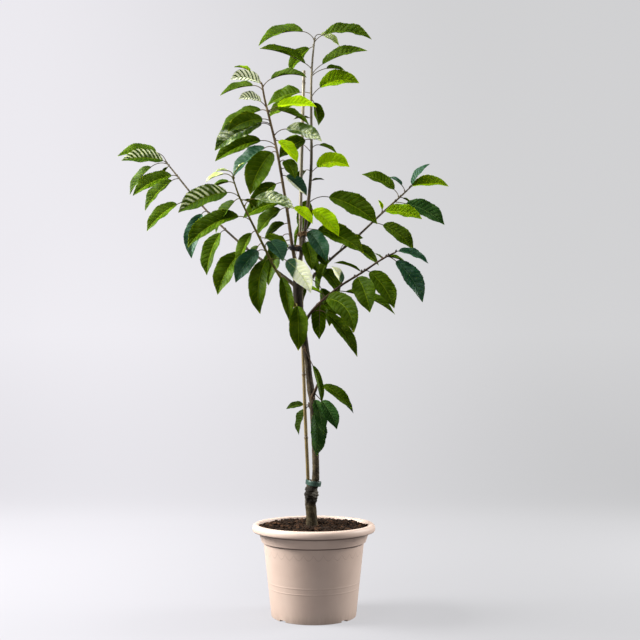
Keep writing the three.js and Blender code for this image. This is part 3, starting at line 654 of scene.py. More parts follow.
RIGHT_LEADER = [
    (-36, 2, 786, 5.5), (-28, 5, 829, 4.6), (-21, 8, 878, 4.2), (-14, 12, 937, 4),
    (-8.6, 16, 998, 3.7), (-6.4, 18, 1047, 3.5), (-6.6, 22, 1145, 3.1), (-6.7, 26, 1243, 2.7),
    (-4, 28, 1294, 2.4), (1, 30, 1346, 1.9),
]
LEFT_LEADER = [
    (-40, 0, 782, 5.5), (-45, -3, 809, 4.5), (-50, -6, 835, 4), (-60.3, -14, 908, 3.6),
    (-69.6, -22, 966, 3.3), (-85.8, -32, 1057, 3), (-101.8, -40, 1126, 2.7),
    (-113.2, -45, 1171, 2.5), (-119.7, -50, 1207, 2),
]
INNER_SHOOT = [
    (-37, 0, 677, 4.8), (-42, -8, 694, 4.1), (-63.6, -28, 739, 3.3), (-91, -52, 784, 3),
    (-111.4, -74, 824, 2.8), (-140, -98, 880, 2.4), (-164.4, -118, 930, 2),
    (-177.4, -130, 968, 1.6),
]
LEFT_BRANCH = [
    (-42, 0, 744, 5), (-69, 8, 767, 3.6), (-115.8, 30, 805, 2.9), (-163, 52, 842.5, 2.7),
    (-233.6, 85, 910, 2.5), (-301, 115, 985.6, 2.3), (-354, 140, 1052.5, 2),
    (-374, 150, 1077, 1.7),
]
UPPER_RIGHT_BRANCH = [
    (-35, 0, 733, 6.5), (-12, 8, 757, 4.6), (13.6, 22, 786, 3.5), (52.8, 45, 826, 3),
    (96.6, 68, 866, 2.8), (164, 102, 934.5, 2.5), (220.6, 130, 990, 2.2),
    (241, 140, 1011, 1.7),
]
LOWER_RIGHT_BRANCH = [
    (-27, 0, 647, 4.8), (-16, -10, 668, 3.8), (-2.4, -18, 687, 3.2), (17.4, -30, 706, 2.8),
    (60.5, -54, 738.5, 2.6), (107, -80, 765, 2.4), (154, -110, 793, 2.1),
    (179.7, -130, 803.5, 1.7),
]
LOW_SPUR_RIGHT = [
    (-5, 0, 482, 4.5), (-2, -11, 492, 4), (4, -16, 505, 3.4), (9, -18, 518, 2.6),
]
LOW_SPUR_LEFT = [
    (-4, 0, 460, 4), (-9, 13, 465, 3.2), (-11, 31, 472, 2.5),
]
TRUNK_SHOOT = [
    (-20, 0, 594, 3.4), (-22, -11, 600, 2.6),
]
print("eleven limbs, the trunk with", len(TRUNK), "stations")


# %% Curve through stations
class Limb:
    """A curve through stations, which gives the point and the radius anywhere along it."""

    def __init__(self, stations):
        self.points = [Vector(row[:3]) for row in stations]
        self.radii = [row[3] for row in stations]
        self.spans = len(stations) - 1

    def at(self, along):
        """The point and the radius at a distance along, counted in stations."""
        span = min(int(along), self.spans - 1)
        share = along - span
        p1, p2 = self.points[span], self.points[span + 1]
        p0 = self.points[span - 1] if span > 0 else 2 * p1 - p2
        p3 = self.points[span + 2] if span + 2 <= self.spans else 2 * p2 - p1
        d0, d1, d2 = (math.sqrt((b - a).length) for a, b in ((p0, p1), (p1, p2), (p2, p3)))
        slope1 = ((p1 - p0) / d0 - (p2 - p0) / (d0 + d1) + (p2 - p1) / d1) * d1
        slope2 = ((p2 - p1) / d1 - (p3 - p1) / (d1 + d2) + (p3 - p2) / d2) * d1
        square, cube = share ** 2, share ** 3
        point = ((2 * cube - 3 * square + 1) * p1 + (cube - 2 * square + share) * slope1
                 + (3 * square - 2 * cube) * p2 + (cube - square) * slope2)
        return point, self.radii[span] + (self.radii[span + 1] - self.radii[span]) * share

    def at_height(self, height):
        low, high = 0.0, float(self.spans)
        for _ in range(30):
            middle = (low + high) / 2
            if self.at(middle)[0].z < height:
                low = middle
            else:
                high = middle
        return self.at(low)

    def samples(self, spacing):
        """Points and radii about this many millimetres apart."""
        length = sum((b - a).length for a, b in zip(self.points, self.points[1:]))
        steps = max(4, round(length / spacing))
        return [self.at(self.spans * step / steps) for step in range(steps + 1)]


print("right leader tip:", tuple(round(value) for value in Limb(RIGHT_LEADER).at(9)[0]))

# %% [markdown]
# A stem is a curve object with a round bevel. Each point of the curve has its own radius, so one
# curve can taper, swell at a node and thin out to a stalk. Then it is converted to a mesh, and its
# faces are turned outwards.


# %% Helper for stems
def stems(name, splines, sides):
    """A mesh of round stems. Each spline is a list of (point, radius) in millimetres."""
    curve = bpy.data.curves.new(name, "CURVE")
    curve.dimensions = "3D"
    curve.bevel_depth = MM
    curve.bevel_resolution = max(0, sides // 2 - 2)
    curve.use_fill_caps = True
    for rows in splines:
        spline = curve.splines.new("POLY")
        spline.points.add(len(rows) - 1)
        for point, (place, radius) in zip(spline.points, rows):
            point.co = (*(place * MM), 1)
            point.radius = radius
    piece = bpy.data.objects.new(name, curve)
    bpy.context.collection.objects.link(piece)
    pick(piece)
    bpy.ops.object.convert(target="MESH")
    piece = bpy.context.object
    face_outwards(piece)
    smooth(piece)
    return piece


print("stem helper ready")

# %% [markdown]
# The trunk is a young cherry's: thin, a little bent at each old node, with a knob low down where the
# named variety was grafted onto its rootstock. The bark is smooth between nodes and rough on the
# knob. A curve gives the line and taper, then three displacements wrinkle the surface: a broad one
# for the knob, a fine one for the bark's skin, and one made of cells that breaks the scarred knob
# into lumps. Vertex groups say how much each height of the trunk gets.

# %% Trunk
TRUNK_SIDES = 28


def hump(value, middle, width, power=2):
    """One at the middle, falling to nothing about two widths away."""
    return math.exp(-((value - middle) / width) ** power)


def trunk_rows():
    """The curve's points, a little thinner at the knob, with faint rings all the way up."""
    return [(place, radius - 0.5 * hump(place.z, 268, 20) + 0.1 * math.sin(place.z * 0.9))
            for place, radius in Limb(TRUNK).samples(2.5)]


trunk = stems("trunk_bark", [trunk_rows()], TRUNK_SIDES)
weigh(trunk, "graft", lambda point: 0.22 + 0.78 * hump(point.z / MM, 266, 17))
roughen(trunk, "graft", "CLOUDS", size=9, strength=8.5, level=0.5, depth=2)
roughen(trunk, "graft", "CLOUDS", size=3.5, strength=1.4, level=0.5)
weigh(trunk, "knob", lambda point: hump(point.z / MM, 267, 14, power=4))
roughen(trunk, "knob", "VORONOI", size=5.5, strength=-5, level=0.35)
print("trunk has", face_count(trunk), "faces")

# %% [markdown]
# The cane is a length of bamboo. What makes it bamboo is its nodes: every hand's breadth the stem
# swells to a ring, with a fine groove just above it. The radius of the curve's points draws that.

# %% Bamboo cane
CANE_NODES = [118, 262, 395, 540, 690, 838, 985, 1120, 1232]


def cane_rows():
    rows = []
    for place, radius in Limb(CANE).samples(1.5):
        for node in CANE_NODES:
            radius += 0.75 * hump(place.z, node, 2.6) - 0.55 * hump(place.z, node + 4.2, 1.3)
        rows.append((place, radius))
    return rows


cane = stems("bamboo_cane", [cane_rows()], sides=20)
print("cane has", face_count(cane), "faces")

# %% [markdown]
# Three ties hold the plant to its cane: a green tape at the graft, a black rubber tie at the fork
# and a brown twine above it. Each is pulled tight round two or three round stems, so its outline is
# the line of a string round circles. The tape is wound in two laps, one a little lower than the
# other, its wall gets its thickness from a solidify modifier, and it is tilted a little at the end,
# as tape wound by hand is.


# %% Helper for ties
def tight_outline(circles, grow, steps):
    """Points of a string pulled tight round circles of (x, y, radius)."""
    outline = []
    for step in range(steps):
        angle = 2 * math.pi * step / steps
        c, s = math.cos(angle), math.sin(angle)
        x, y, r = max(circles, key=lambda circle: circle[0] * c + circle[1] * s + circle[2])
        outline.append((x + (r + grow) * c, y + (r + grow) * s))
    return outline


def section_circle(stations, low, high):
    """A circle seen from above that a limb stays in, between two heights."""
    limb = Limb(stations)
    (start, r0), (end, r1) = limb.at_height(low), limb.at_height(high)
    drift = math.hypot(start.x - end.x, start.y - end.y) / 2
    return ((start.x + end.x) / 2, (start.y + end.y) / 2, max(r0, r1) + drift)


BAND_STEPS = 64
BAND_CLEARANCE = 0.3
BAND_REACH = 20  # about how far a band's wall stands from its middle


def band(name, circles, bottom, rows, thickness):
    """A wound band: an outline extruded up through rows of (height, swelling)."""
    deselect_all()
    bpy.ops.mesh.primitive_circle_add(vertices=BAND_STEPS, radius=1, fill_type="NOTHING")
    piece = bpy.context.object
    piece.name = name
    for vertex, (x, y) in zip(piece.data.vertices, tight_outline(circles, BAND_CLEARANCE, BAND_STEPS)):
        vertex.co = (x * MM, y * MM, bottom * MM)
    edit_all()
    centre = sum((Vector(c[:2]) for c in circles), Vector((0, 0))) / len(circles)
    height, swell = 0, 0
    for next_height, next_swell in rows:
        bpy.ops.mesh.extrude_region_move(
            TRANSFORM_OT_translate={"value": (0, 0, (next_height - height) * MM)})
        scale = 1 + (next_swell - swell) / BAND_REACH
        bpy.ops.transform.resize(value=(scale, scale, 1), center_override=(centre.x * MM, centre.y * MM, 0))
        height, swell = next_height, next_swell
    stop_editing()
    face_outwards(piece)
    apply_modifier(piece, "SOLIDIFY", thickness=thickness * MM, offset=1)
    apply_modifier(piece, "BEVEL", width=0.3 * MM, segments=2, limit_method="ANGLE")
    smooth(piece, sharp_angle=40)
    return piece


TAPE_HEIGHTS = (287, 298)
TAPE_TILT = -7
FORK_HEIGHTS = (828, 838)

tape_circles = [section_circle(line, *TAPE_HEIGHTS) for line in (TRUNK, CANE)]
tape = band("graft_tape_wound", tape_circles, TAPE_HEIGHTS[0],
            [(2.5, 0.3), (5, 0.2), (5.6, 0.6), (8.4, 0.5), (11, 0.1)], 1.1)
pick(tape)
edit_all()
tape_middle = (tape_circles[0][0] * MM, tape_circles[0][1] * MM, sum(TAPE_HEIGHTS) / 2 * MM)
bpy.ops.transform.rotate(value=math.radians(TAPE_TILT), orient_axis="Y", center_override=tape_middle)
stop_editing()
fork_circles = [section_circle(line, *FORK_HEIGHTS) for line in (LEFT_LEADER, CANE, RIGHT_LEADER)]
fork_tie = band("fork_tie_rubber", fork_circles, FORK_HEIGHTS[0],
                [(2, 0.2), (5, 0.4), (8, 0.2), (10, 0)], 1.5)
print("tape", face_count(tape), "faces, fork tie", face_count(fork_tie), "faces")

# %% [markdown]
# The twine is one long round spline, wound six times round the cane and the leader. Cut ends are what
# make a tie look tied: jute frays into loose fibres, and the rubber tie ends in short stubs. Both
# are thin strands that set off from a stem and droop, each from its own random bearing, and the
# random numbers have a fixed seed, so the plant looks the same every time.

# %% Twine
TWINE_HEIGHTS = (862, 874)
TWINE_TURNS = 6
TWINE_STEPS = 40  # points in each turn
TWINE_RADIUS = 0.85
LOOSE_STEPS = 7
twine_circles = [section_circle(line, *TWINE_HEIGHTS) for line in (CANE, RIGHT_LEADER)]
fibre_dice = random.Random(12)


def twine_rows():
    """The wound twine's points, from a millimetre above its lower end to one below its upper."""
    low, high = TWINE_HEIGHTS
    outline = tight_outline(twine_circles, TWINE_RADIUS + 0.4, TWINE_STEPS)
    rows = []
    for step in range(TWINE_STEPS * TWINE_TURNS + 1):
        x, y = outline[step % TWINE_STEPS]
        height = low + 1 + (high - low - 2) * step / (TWINE_STEPS * TWINE_TURNS)
        rows.append((Vector((x, y, height)), TWINE_RADIUS))
    return rows


def loose_end(start, heading, length, radius, droop):
    """A thin strand that leaves a tie and droops."""
    place, rows = Vector(start), []
    step = Vector(heading).normalized() * length / LOOSE_STEPS
    for knot in range(LOOSE_STEPS + 1):
        rows.append((place.copy(), radius * (1.05 - 0.09 * knot)))
        place = place + step
        step = step + Vector((0, 0, -droop * length / 60))
    return rows


def frayed(circles, height, count, length, radius):
    """Loose strands that leave the front half of a tie at random."""
    strands = []
    for _ in range(count):
        bearing = math.radians(fibre_dice.choice((-1, 1)) * fibre_dice.uniform(20, 100))
        out = Vector((math.sin(bearing), -math.cos(bearing), 0))
        x, y, r = fibre_dice.choice(circles)
        start = Vector((x, y, height + fibre_dice.uniform(-4, 4))) + out * (r + 0.5)
        strands.append(loose_end(start, out + Vector((0, 0, fibre_dice.uniform(-0.6, 1.0))),
                                 length * fibre_dice.uniform(0.6, 1.2), radius, fibre_dice.uniform(0.6, 2.4)))
    return strands


twine = stems("twine_wound", [twine_rows()], sides=8)
fibres = frayed(twine_circles, height=868, count=12, length=15, radius=1.0)
fibres += frayed(fork_circles, height=836, count=18, length=20, radius=0.9)
twine = join("twine_wound", [twine, stems("frayed_twine", fibres, sides=6)])
stubs = frayed(fork_circles[:2], height=833, count=6, length=17, radius=1.9)
tie_ends = stems("tie_ends", stubs, sides=8)
fork_tie = join("fork_tie_rubber", [fork_tie, tie_ends])
print("twine has", face_count(twine), "faces")

# %% [markdown]
# One leaf blade is modelled flat, as if pressed in a book: a grid, one unit long and two across,
# whose end rows are merged to the two points, and which solidify turns into an upper and a lower
# skin with a rim. Its UV map runs from base to tip and from side to side, so veins painted on it
# follow every copy. The lower skin gets the second material.

# %% Flat blade
BLADE_COLUMNS = 60
BLADE_ROWS = 14
FLAT_THICKNESS = 0.02  # only tells the two skins apart, the bent blade has its own thickness

deselect_all()
bpy.ops.mesh.primitive_grid_add(
    x_subdivisions=BLADE_COLUMNS, y_subdivisions=BLADE_ROWS, size=1, location=(0, 0, 0))
flat_blade = bpy.context.object
flat_blade.name = "flat_blade"
edit_all()
bpy.ops.transform.translate(value=(0.5, 0, 0))
bpy.ops.transform.resize(value=(1, 2, 1), center_override=(0, 0, 0))
bpy.ops.mesh.select_mode(type="VERT")
for end in (0, 1):
    bpy.ops.mesh.select_all(action="DESELECT")
    stop_editing()
    for vertex in flat_blade.data.vertices:
        vertex.select = abs(vertex.co.x - end) < 1e-4
    bpy.ops.object.mode_set(mode="EDIT")
    bpy.ops.mesh.merge(type="CENTER")
stop_editing()
flat_blade.data.materials.append(None)
flat_blade.data.materials.append(None)
apply_modifier(flat_blade, "SOLIDIFY", thickness=FLAT_THICKNESS, offset=0, material_offset=1)
blade_points, blade_faces = mesh_arrays(flat_blade)
blade_sides = [face.material_index for face in flat_blade.data.polygons]
blade_uv = np.empty(len(flat_blade.data.loops) * 2)
flat_blade.data.uv_layers.active.data.foreach_get("uv", blade_uv)
pick(flat_blade)
bpy.ops.object.delete()
print("flat blade:", len(blade_points), "points,", len(blade_faces), "faces")

# %% [markdown]
# Each leaf then gets its own bend. A table row says where its stalk leaves the limb, where it
# points, how long it is, and how it droops, turns and folds; these are the numbers of the packed
# model, so the detailed leaf lies exactly over the plain one. Bending by hand a hundred times isn't
# practical, so the flat blade's points are mapped by formula: along an arc, out from the midrib,
# and up by the fold. Real blades also pucker between their side veins and wave along the margin,
# and the margin is cut into fine teeth, so the same formula adds those.


# %% Bending a blade
STALK_RADIUS = 1.0
BLADE_THICKNESS = 0.8
OUTLINE_SCALE = 2.71  # brings the widest part of the outline's formula to one
TEETH = 26
TOOTH_DEPTH = 0.09  # this and the next two: a share of the half width
MARGIN_WAVE = 0.08
MARGIN_RIPPLE = 0.035
PUCKER = 0.017  # a share of the length
VEIN_PAIRS = 10
VEIN_LEAN = 0.15
VEIN_STAGGER = 0.4  # how far the veins of one half sit ahead of the other's, in vein spacings
leaf_dice = random.Random(5)


def leaf(height, to, slope, long, turn=0, arch=32, fold=24, wide=0.46, stalk=0.33, rise=50, tone="green"):
    """height, long: mm. to: bearing, 0 front, 90 right. slope, turn, arch, fold, rise: degrees."""
    return dict(height=height, to=math.radians(to), long=long, turn=math.radians(turn),
                base=math.radians(slope + arch / 2), tip=math.radians(slope - arch / 2),
                fold=math.radians(fold), wide=wide, stalk=stalk * long, rise=math.radians(rise), tone=tone)


def arc(out, up, start, end, length, share):
    """Place and angle on an arc from one angle above level to another."""
    bend = end - start if abs(end - start) > 1e-4 else 1e-4
    angle = start + bend * share
    return (out + length / bend * (np.sin(angle) - np.sin(start)),
            up - length / bend * (np.cos(angle) - np.cos(start)), angle)


def centre_line(row, root, share, part):
    """Points and directions along a leaf's stalk or blade, as arrays."""
    heading = np.array([math.sin(row["to"]), -math.cos(row["to"]), 0])
    upward = np.array([0, 0, 1])
    start = arc(0, 0, row["rise"], row["base"], row["stalk"], 1)
    share = np.asarray(share, float)
    if part == "stalk":
        out, up, angle = arc(0, 0, row["rise"], row["base"], row["stalk"], share)
    else:
        out, up, angle = arc(start[0], start[1], row["base"], row["tip"], row["long"], share)
    centre = np.array(root) + np.outer(out, heading) + np.outer(up, upward)
    along = np.outer(np.cos(angle), heading) + np.outer(np.sin(angle), upward)
    sideways = np.tile(np.cross(heading, upward), (len(share), 1))
    turned = (sideways * math.cos(row["turn"]) + np.cross(along, sideways) * math.sin(row["turn"]))
    return centre, along, turned, np.cross(turned, along)


def bend_blade(row, root):
    """The points of one bent leaf, from the flat blade's points and a table row."""
    u = blade_points[:, 0]
    side = -blade_points[:, 1]
    spread = np.abs(side)
    skin = np.sign(blade_points[:, 2])
    centre, _, across, normal = centre_line(row, root, u, "blade")
    inner = np.clip(u, 0.0005, 0.9995)
    width = row["long"] * row["wide"] / 2 * OUTLINE_SCALE * inner ** 0.65 * (1 - inner) ** 0.8
    width = width * (1.05 - 0.42 * np.clip((u - 0.7) / 0.25, 0, 1) ** 1.7)
    saw = (u * TEETH + 0.35) % 1
    width = width * (1 - TOOTH_DEPTH * spread ** 6 * saw * (u < 0.97))
    crown = spread * (1.22 - 0.22 * spread)
    phase = leaf_dice.uniform(0, 6.28)
    lift = width * math.sin(row["fold"]) * crown
    wave = np.sin(u * leaf_dice.uniform(10, 17) + phase + 1.2 * np.sign(side))
    lift += MARGIN_WAVE * width * spread ** 2 * wave
    ripple = np.sin(u * leaf_dice.uniform(7, 13) + phase * 2 + side)
    width = width * (1 + MARGIN_RIPPLE * spread * ripple)
    veins = VEIN_PAIRS * (u - VEIN_LEAN * spread ** 1.2) + VEIN_STAGGER * (blade_points[:, 1] > 0)
    domes = np.abs(np.sin(math.pi * veins)) ** 0.8 - 0.6
    dome_share = np.clip(spread * 4, 0, 1) * (1 - 0.6 * spread ** 2) * np.clip(width / 12, 0, 1)
    lift += domes * PUCKER * row["long"] * dome_share
    thick = BLADE_THICKNESS * (1 - 0.55 * spread ** 3) * np.clip((1 - u) * 8, 0.2, 1)
    reach = (side * width * math.cos(row["fold"]))[:, None]
    return centre + across * reach + normal * (lift + skin * thick / 2)[:, None]


def stalk_rows(row, root):
    """The stalk, which runs on as the midrib under the blade and thins out to its tip."""
    rows = []
    steps = max(4, round(row["stalk"] / 4))
    shares = np.linspace(0, 1, steps + 1)
    centre = centre_line(row, root, shares, "stalk")[0]
    for share, point in zip(shares, centre):
        rows.append((Vector(point), STALK_RADIUS * (1.35 - 0.35 * min(1, share * 3))))
    shares = np.linspace(0.04, 0.93, 14)
    centre, _, _, normal = centre_line(row, root, shares, "blade")
    for share, point, up in zip(shares, centre, normal):
        radius = STALK_RADIUS * (1 - share) ** 0.8 * 0.86 + 0.16
        rows.append((Vector(point - up * (0.62 * radius)), radius))
    return rows


print("bending formulas ready")

# %% [markdown]
# The leaves, limb by limb. Most are plain green; the tone names the ones that are paler, bluer,
# glossier or younger than their neighbours, as on any real tree where some leaves are just unfolding.
# The two glow tones are yellower where light shines through the blade, partly their own colour and
# partly painted glow, and the glare tones are painted with pale reflections.

# %% Leaf tables
RIGHT_LEADER_LEAVES = [
    leaf(height=1342, to=268, slope=-18, long=117, turn=-46, arch=55, stalk=.32, rise=70),
    leaf(height=1337, to=92, slope=-6, long=117, turn=50, arch=50, stalk=.29, rise=60),
    leaf(height=1344, to=112, slope=-24, long=54, turn=58, wide=.6, stalk=.48, rise=95, tone="young"),
    leaf(height=1256, to=85, slope=15, long=113, turn=46, rise=58),
    leaf(height=1252, to=112, slope=0, long=50, turn=42, stalk=.95),
    leaf(height=1200, to=86, slope=5, long=98, turn=64, arch=60, wide=.54, rise=62, tone="fresh_glow"),
    leaf(height=1270, to=284, slope=13, long=116, turn=-38, stalk=.18),
    leaf(height=1327, to=252, slope=-47, long=74, turn=-70, wide=.6, stalk=.16, rise=0),
    leaf(height=1210, to=246, slope=-14, long=92, turn=-62, wide=.52, rise=25),
    leaf(height=1189, to=258, slope=-24, long=86, turn=-58, wide=.56, rise=20),
    leaf(height=1196, to=150, slope=-66, long=56, turn=20, wide=.7, stalk=.25, rise=10),
    leaf(height=1150, to=262, slope=-4, long=38, wide=.34, stalk=.15, rise=0),
    leaf(height=1068, to=96, slope=-26, long=47, turn=40, stalk=.6, rise=90),
    leaf(height=1015, to=90, slope=0, long=82, turn=66, arch=75, wide=.58, stalk=.25, tone="lime_glow"),
    leaf(height=996, to=80, slope=0, long=30, wide=.4, stalk=.15, rise=10),
    leaf(height=1064, to=232, slope=22, long=56, turn=-50, stalk=.7),
    leaf(height=1017, to=214, slope=-28, long=58, stalk=.5),
    leaf(height=941, to=80, slope=-31, long=134, turn=62, stalk=.4, rise=46),
    leaf(height=927, to=68, slope=-46, long=94, turn=60, stalk=.15, rise=10, tone="lime_glow"),
    leaf(height=880, to=80, slope=-28, long=124, turn=58, stalk=.24, rise=0),
    leaf(height=952, to=196, slope=-68, long=84, turn=10, wide=.5, stalk=.2),
    leaf(height=877, to=52, slope=-55, long=94, turn=50, stalk=.12, rise=0, tone="teal"),
    leaf(height=852, to=26, slope=-66, long=78, turn=20, stalk=.2, rise=10),
    leaf(height=821, to=52, slope=-52, long=60, turn=45, stalk=.2, rise=10),
    leaf(height=1096, to=294, slope=-38, long=84, turn=-64, wide=.5, stalk=.2, rise=10),
    leaf(height=915, to=216, slope=-68, long=80, turn=-60, wide=.38, stalk=.28, rise=0),
    leaf(height=846, to=70, slope=-50, long=72, turn=66, wide=.5, stalk=.2, rise=0),
]
LEFT_LEADER_LEAVES = [
    leaf(height=1206, to=243, slope=20, long=48, turn=-20, stalk=1.05, rise=62, tone="fresh_glow"),
    leaf(height=1205, to=287, slope=0, long=72, turn=-62, arch=60, wide=.55, stalk=.1, tone="glare_striped"),
    leaf(height=1191, to=262, slope=-15, long=82, turn=-44, stalk=.36, rise=62),
    leaf(height=1199, to=84, slope=0, long=86, turn=38, arch=52, rise=65),
    leaf(height=1145, to=294, slope=-2, long=56, turn=-62, arch=60, wide=.54, stalk=.5, rise=74,
         tone="glare_striped"),
    leaf(height=1139, to=256, slope=-28, long=118, turn=-50, stalk=.2, rise=75),
    leaf(height=1114, to=246, slope=-13, long=126, turn=-36, stalk=.2, rise=45),
    leaf(height=1109, to=287, slope=-34, long=132, turn=-58, stalk=.2, tone="sheen"),
    leaf(height=1066, to=279, slope=-27, long=118, turn=-56, rise=46),
    leaf(height=1058, to=248, slope=-38, long=110, turn=-60, stalk=.3, tone="teal"),
    leaf(height=1049, to=304, slope=-62, long=122, turn=-52, wide=.5, stalk=.14),
    leaf(height=1143, to=78, slope=-5, long=94, turn=52, arch=30, stalk=.28, tone="lime_glow"),
    leaf(height=1141, to=112, slope=-20, long=84, turn=40, stalk=.34),
    leaf(height=1088, to=74, slope=-23, long=94, turn=58, stalk=.38, rise=60, tone="sheen"),
    leaf(height=1078, to=64, slope=-50, long=76, turn=44, wide=.44, stalk=.14, rise=20, tone="lime_glow"),
    leaf(height=998, to=78, slope=-45, long=70, turn=60, stalk=.16, rise=20, tone="glare_edged"),
    leaf(height=918, to=64, slope=-42, long=64, turn=46, stalk=.34, rise=65, tone="lime_glow"),
    leaf(height=1026, to=48, slope=-55, long=58, turn=40, wide=.6, stalk=.35, rise=65),
    leaf(height=1011, to=100, slope=-40, long=34, turn=20, stalk=.45, rise=60),
    leaf(height=863, to=284, slope=-68, long=70, turn=-76, wide=.5, stalk=.3, rise=30),
    leaf(height=851, to=262, slope=-72, long=102, turn=-74, stalk=.25, rise=10),
    leaf(height=926, to=244, slope=-42, long=84, turn=-66, wide=.58, stalk=.2, rise=0),
    leaf(height=938, to=256, slope=-20, long=96, turn=-64, wide=.54, stalk=.16, rise=0),
    leaf(height=1124, to=296, slope=-26, long=96, turn=-64, stalk=.2, rise=20),
    leaf(height=982, to=272, slope=-48, long=88, turn=-68, wide=.5, stalk=.18, rise=10),
    leaf(height=889, to=238, slope=-30, long=66, turn=-64, wide=.5, stalk=.2, rise=20),
]
INNER_SHOOT_LEAVES = [
    leaf(height=966, to=285, slope=-8, long=28, turn=-30, stalk=.85, rise=105, tone="young"),
    leaf(height=964, to=70, slope=36, long=26, turn=30, stalk=.85, rise=95, tone="young"),
    leaf(height=961, to=262, slope=-24, long=44, turn=-40, wide=.5, stalk=.75, rise=78, tone="young"),
    leaf(height=955, to=238, slope=-16, long=68, turn=-30, stalk=.3, rise=45),
    leaf(height=926, to=290, slope=-26, long=122, turn=-62, stalk=.26, tone="glare_streaked"),
    leaf(height=907, to=78, slope=-17, long=96, turn=48, stalk=.34, rise=75, tone="sheen"),
    leaf(height=925, to=236, slope=-52, long=86, turn=-64, wide=.52, stalk=.2, rise=10),
    leaf(height=919, to=150, slope=-12, long=50, stalk=.25),
    leaf(height=865, to=286, slope=-34, long=140, turn=-48, arch=50, wide=.42, rise=75),
    leaf(height=858, to=246, slope=-66, long=78, turn=-72, wide=.5, stalk=.15, rise=0),
    leaf(height=821, to=36, slope=-44, long=74, turn=24, wide=.6, stalk=.4, rise=88, tone="teal"),
    leaf(height=812, to=300, slope=-54, long=94, turn=-60, stalk=.26, tone="teal"),
    leaf(height=795, to=326, slope=-80, long=132, turn=-20, arch=62, wide=.36, stalk=.14),
    leaf(height=795, to=58, slope=-50, long=102, turn=56, stalk=.44, rise=26, tone="cream_glare"),
    leaf(height=763, to=52, slope=-77, long=106, turn=60, wide=.3, stalk=.06, rise=0),
    leaf(height=696, to=14, slope=-84, long=104, turn=10, stalk=.24, rise=60),
    leaf(height=842, to=110, slope=-18, long=60, turn=58, wide=.5, stalk=.2, rise=20),
    leaf(height=832, to=232, slope=-64, long=68, turn=-62, wide=.56, stalk=.2, rise=0),
]
LEFT_BRANCH_LEAVES = [
    leaf(height=1075, to=264, slope=-4, long=102, turn=-52, stalk=.38, rise=78),
    leaf(height=1073, to=286, slope=-4, long=104, turn=-62, stalk=.1, tone="glare_streaked"),
    leaf(height=1070, to=249, slope=-48, long=92, turn=-58, stalk=.54, rise=25),
    leaf(height=1064, to=222, slope=-42, long=52, turn=-30, stalk=.15, rise=20),
    leaf(height=1035, to=278, slope=-30, long=110, turn=-56, stalk=.14, rise=30),
    leaf(height=1029, to=254, slope=-45, long=104, turn=-62, stalk=.2, rise=10),
    leaf(height=974, to=263, slope=-41, long=102, turn=-62, stalk=.48, rise=-5),
    leaf(height=926, to=284, slope=-78, long=114, turn=-58, wide=.4, stalk=.3, rise=85, tone="teal"),
    leaf(height=889, to=300, slope=-72, long=112, turn=-30, wide=.44, stalk=.15, rise=0),
    leaf(height=838, to=282, slope=-63, long=116, turn=-62, wide=.48, stalk=.18, rise=0),
]
UPPER_RIGHT_LEAVES = [
    leaf(height=979, to=261, slope=27, long=92, turn=-52, arch=30, stalk=.27, rise=80),
    leaf(height=995, to=248, slope=34, long=42, turn=-30, stalk=.5, rise=80, tone="teal"),
    leaf(height=1009, to=74, slope=47, long=68, turn=46, stalk=.12, tone="teal"),
    leaf(height=1006, to=88, slope=-1, long=93, turn=52, arch=45, stalk=.1, tone="fresh_glow"),
    leaf(height=968, to=80, slope=-31, long=110, turn=64, stalk=.26, rise=-8, tone="dusk"),
    leaf(height=934, to=76, slope=-15, long=94, turn=56, stalk=.14, rise=60, tone="fresh_glow"),
    leaf(height=938, to=312, slope=58, long=26, stalk=.3, rise=80, tone="lime_glow"),
    leaf(height=981, to=96, slope=-38, long=28, stalk=.3, rise=0),
    leaf(height=911, to=80, slope=-41, long=98, turn=62, stalk=.28, rise=-5),
    leaf(height=842, to=104, slope=-33, long=84, turn=55, stalk=.24, rise=55),
    leaf(height=834, to=106, slope=14, long=42, turn=50, wide=.6, stalk=.75, rise=75),
    leaf(height=762, to=98, slope=-78, long=92, turn=74, stalk=.36, rise=-20),
    leaf(height=811, to=322, slope=-58, long=66, wide=.5, stalk=.1, rise=0),
    leaf(height=787, to=62, slope=-52, long=70, turn=50, wide=.52, stalk=.12, rise=0),
    leaf(height=779, to=128, slope=-46, long=84, turn=52, wide=.5, stalk=.14, rise=0),
    leaf(height=772, to=214, slope=-60, long=80, turn=-30, wide=.5, stalk=.2, rise=0),
    leaf(height=812, to=236, slope=-74, long=72, turn=-56, wide=.6, stalk=.2, rise=0),
]
LOWER_RIGHT_LEAVES = [
    leaf(height=795, to=84, slope=-20, long=42, turn=20, wide=.5, stalk=.1),
    leaf(height=792, to=240, slope=30, long=20, stalk=.2),
    leaf(height=797, to=74, slope=-58, long=110, turn=55, wide=.42, stalk=.2, rise=-25, tone="teal"),
    leaf(height=803, to=98, slope=-22, long=72, turn=45, stalk=.12, tone="teal"),
    leaf(height=768, to=68, slope=-56, long=102, turn=60, stalk=.14, rise=20),
    leaf(height=766, to=256, slope=18, long=64, wide=.4, stalk=.1, rise=30),
    leaf(height=756, to=35, slope=-62, long=94, turn=45, wide=.56, stalk=.14, rise=30),
    leaf(height=708, to=50, slope=-46, long=124, turn=60, arch=90, wide=.42, stalk=.1, rise=20),
    leaf(height=728, to=72, slope=-26, long=128, turn=12, wide=.4, stalk=.22, rise=0),
    leaf(height=741, to=268, slope=58, long=46, turn=-60, wide=.5, stalk=.1, rise=80, tone="cream_glare"),
    leaf(height=677, to=66, slope=-53, long=130, turn=50, wide=.26, stalk=.34, rise=45),
    leaf(height=712, to=288, slope=12, long=44, turn=-30, stalk=.35, rise=85, tone="fresh_glow"),
    leaf(height=705, to=190, slope=-82, long=88, wide=.44, stalk=.15, rise=80),
    leaf(height=699, to=84, slope=-26, long=86, turn=64, wide=.5, stalk=.14, rise=20),
]
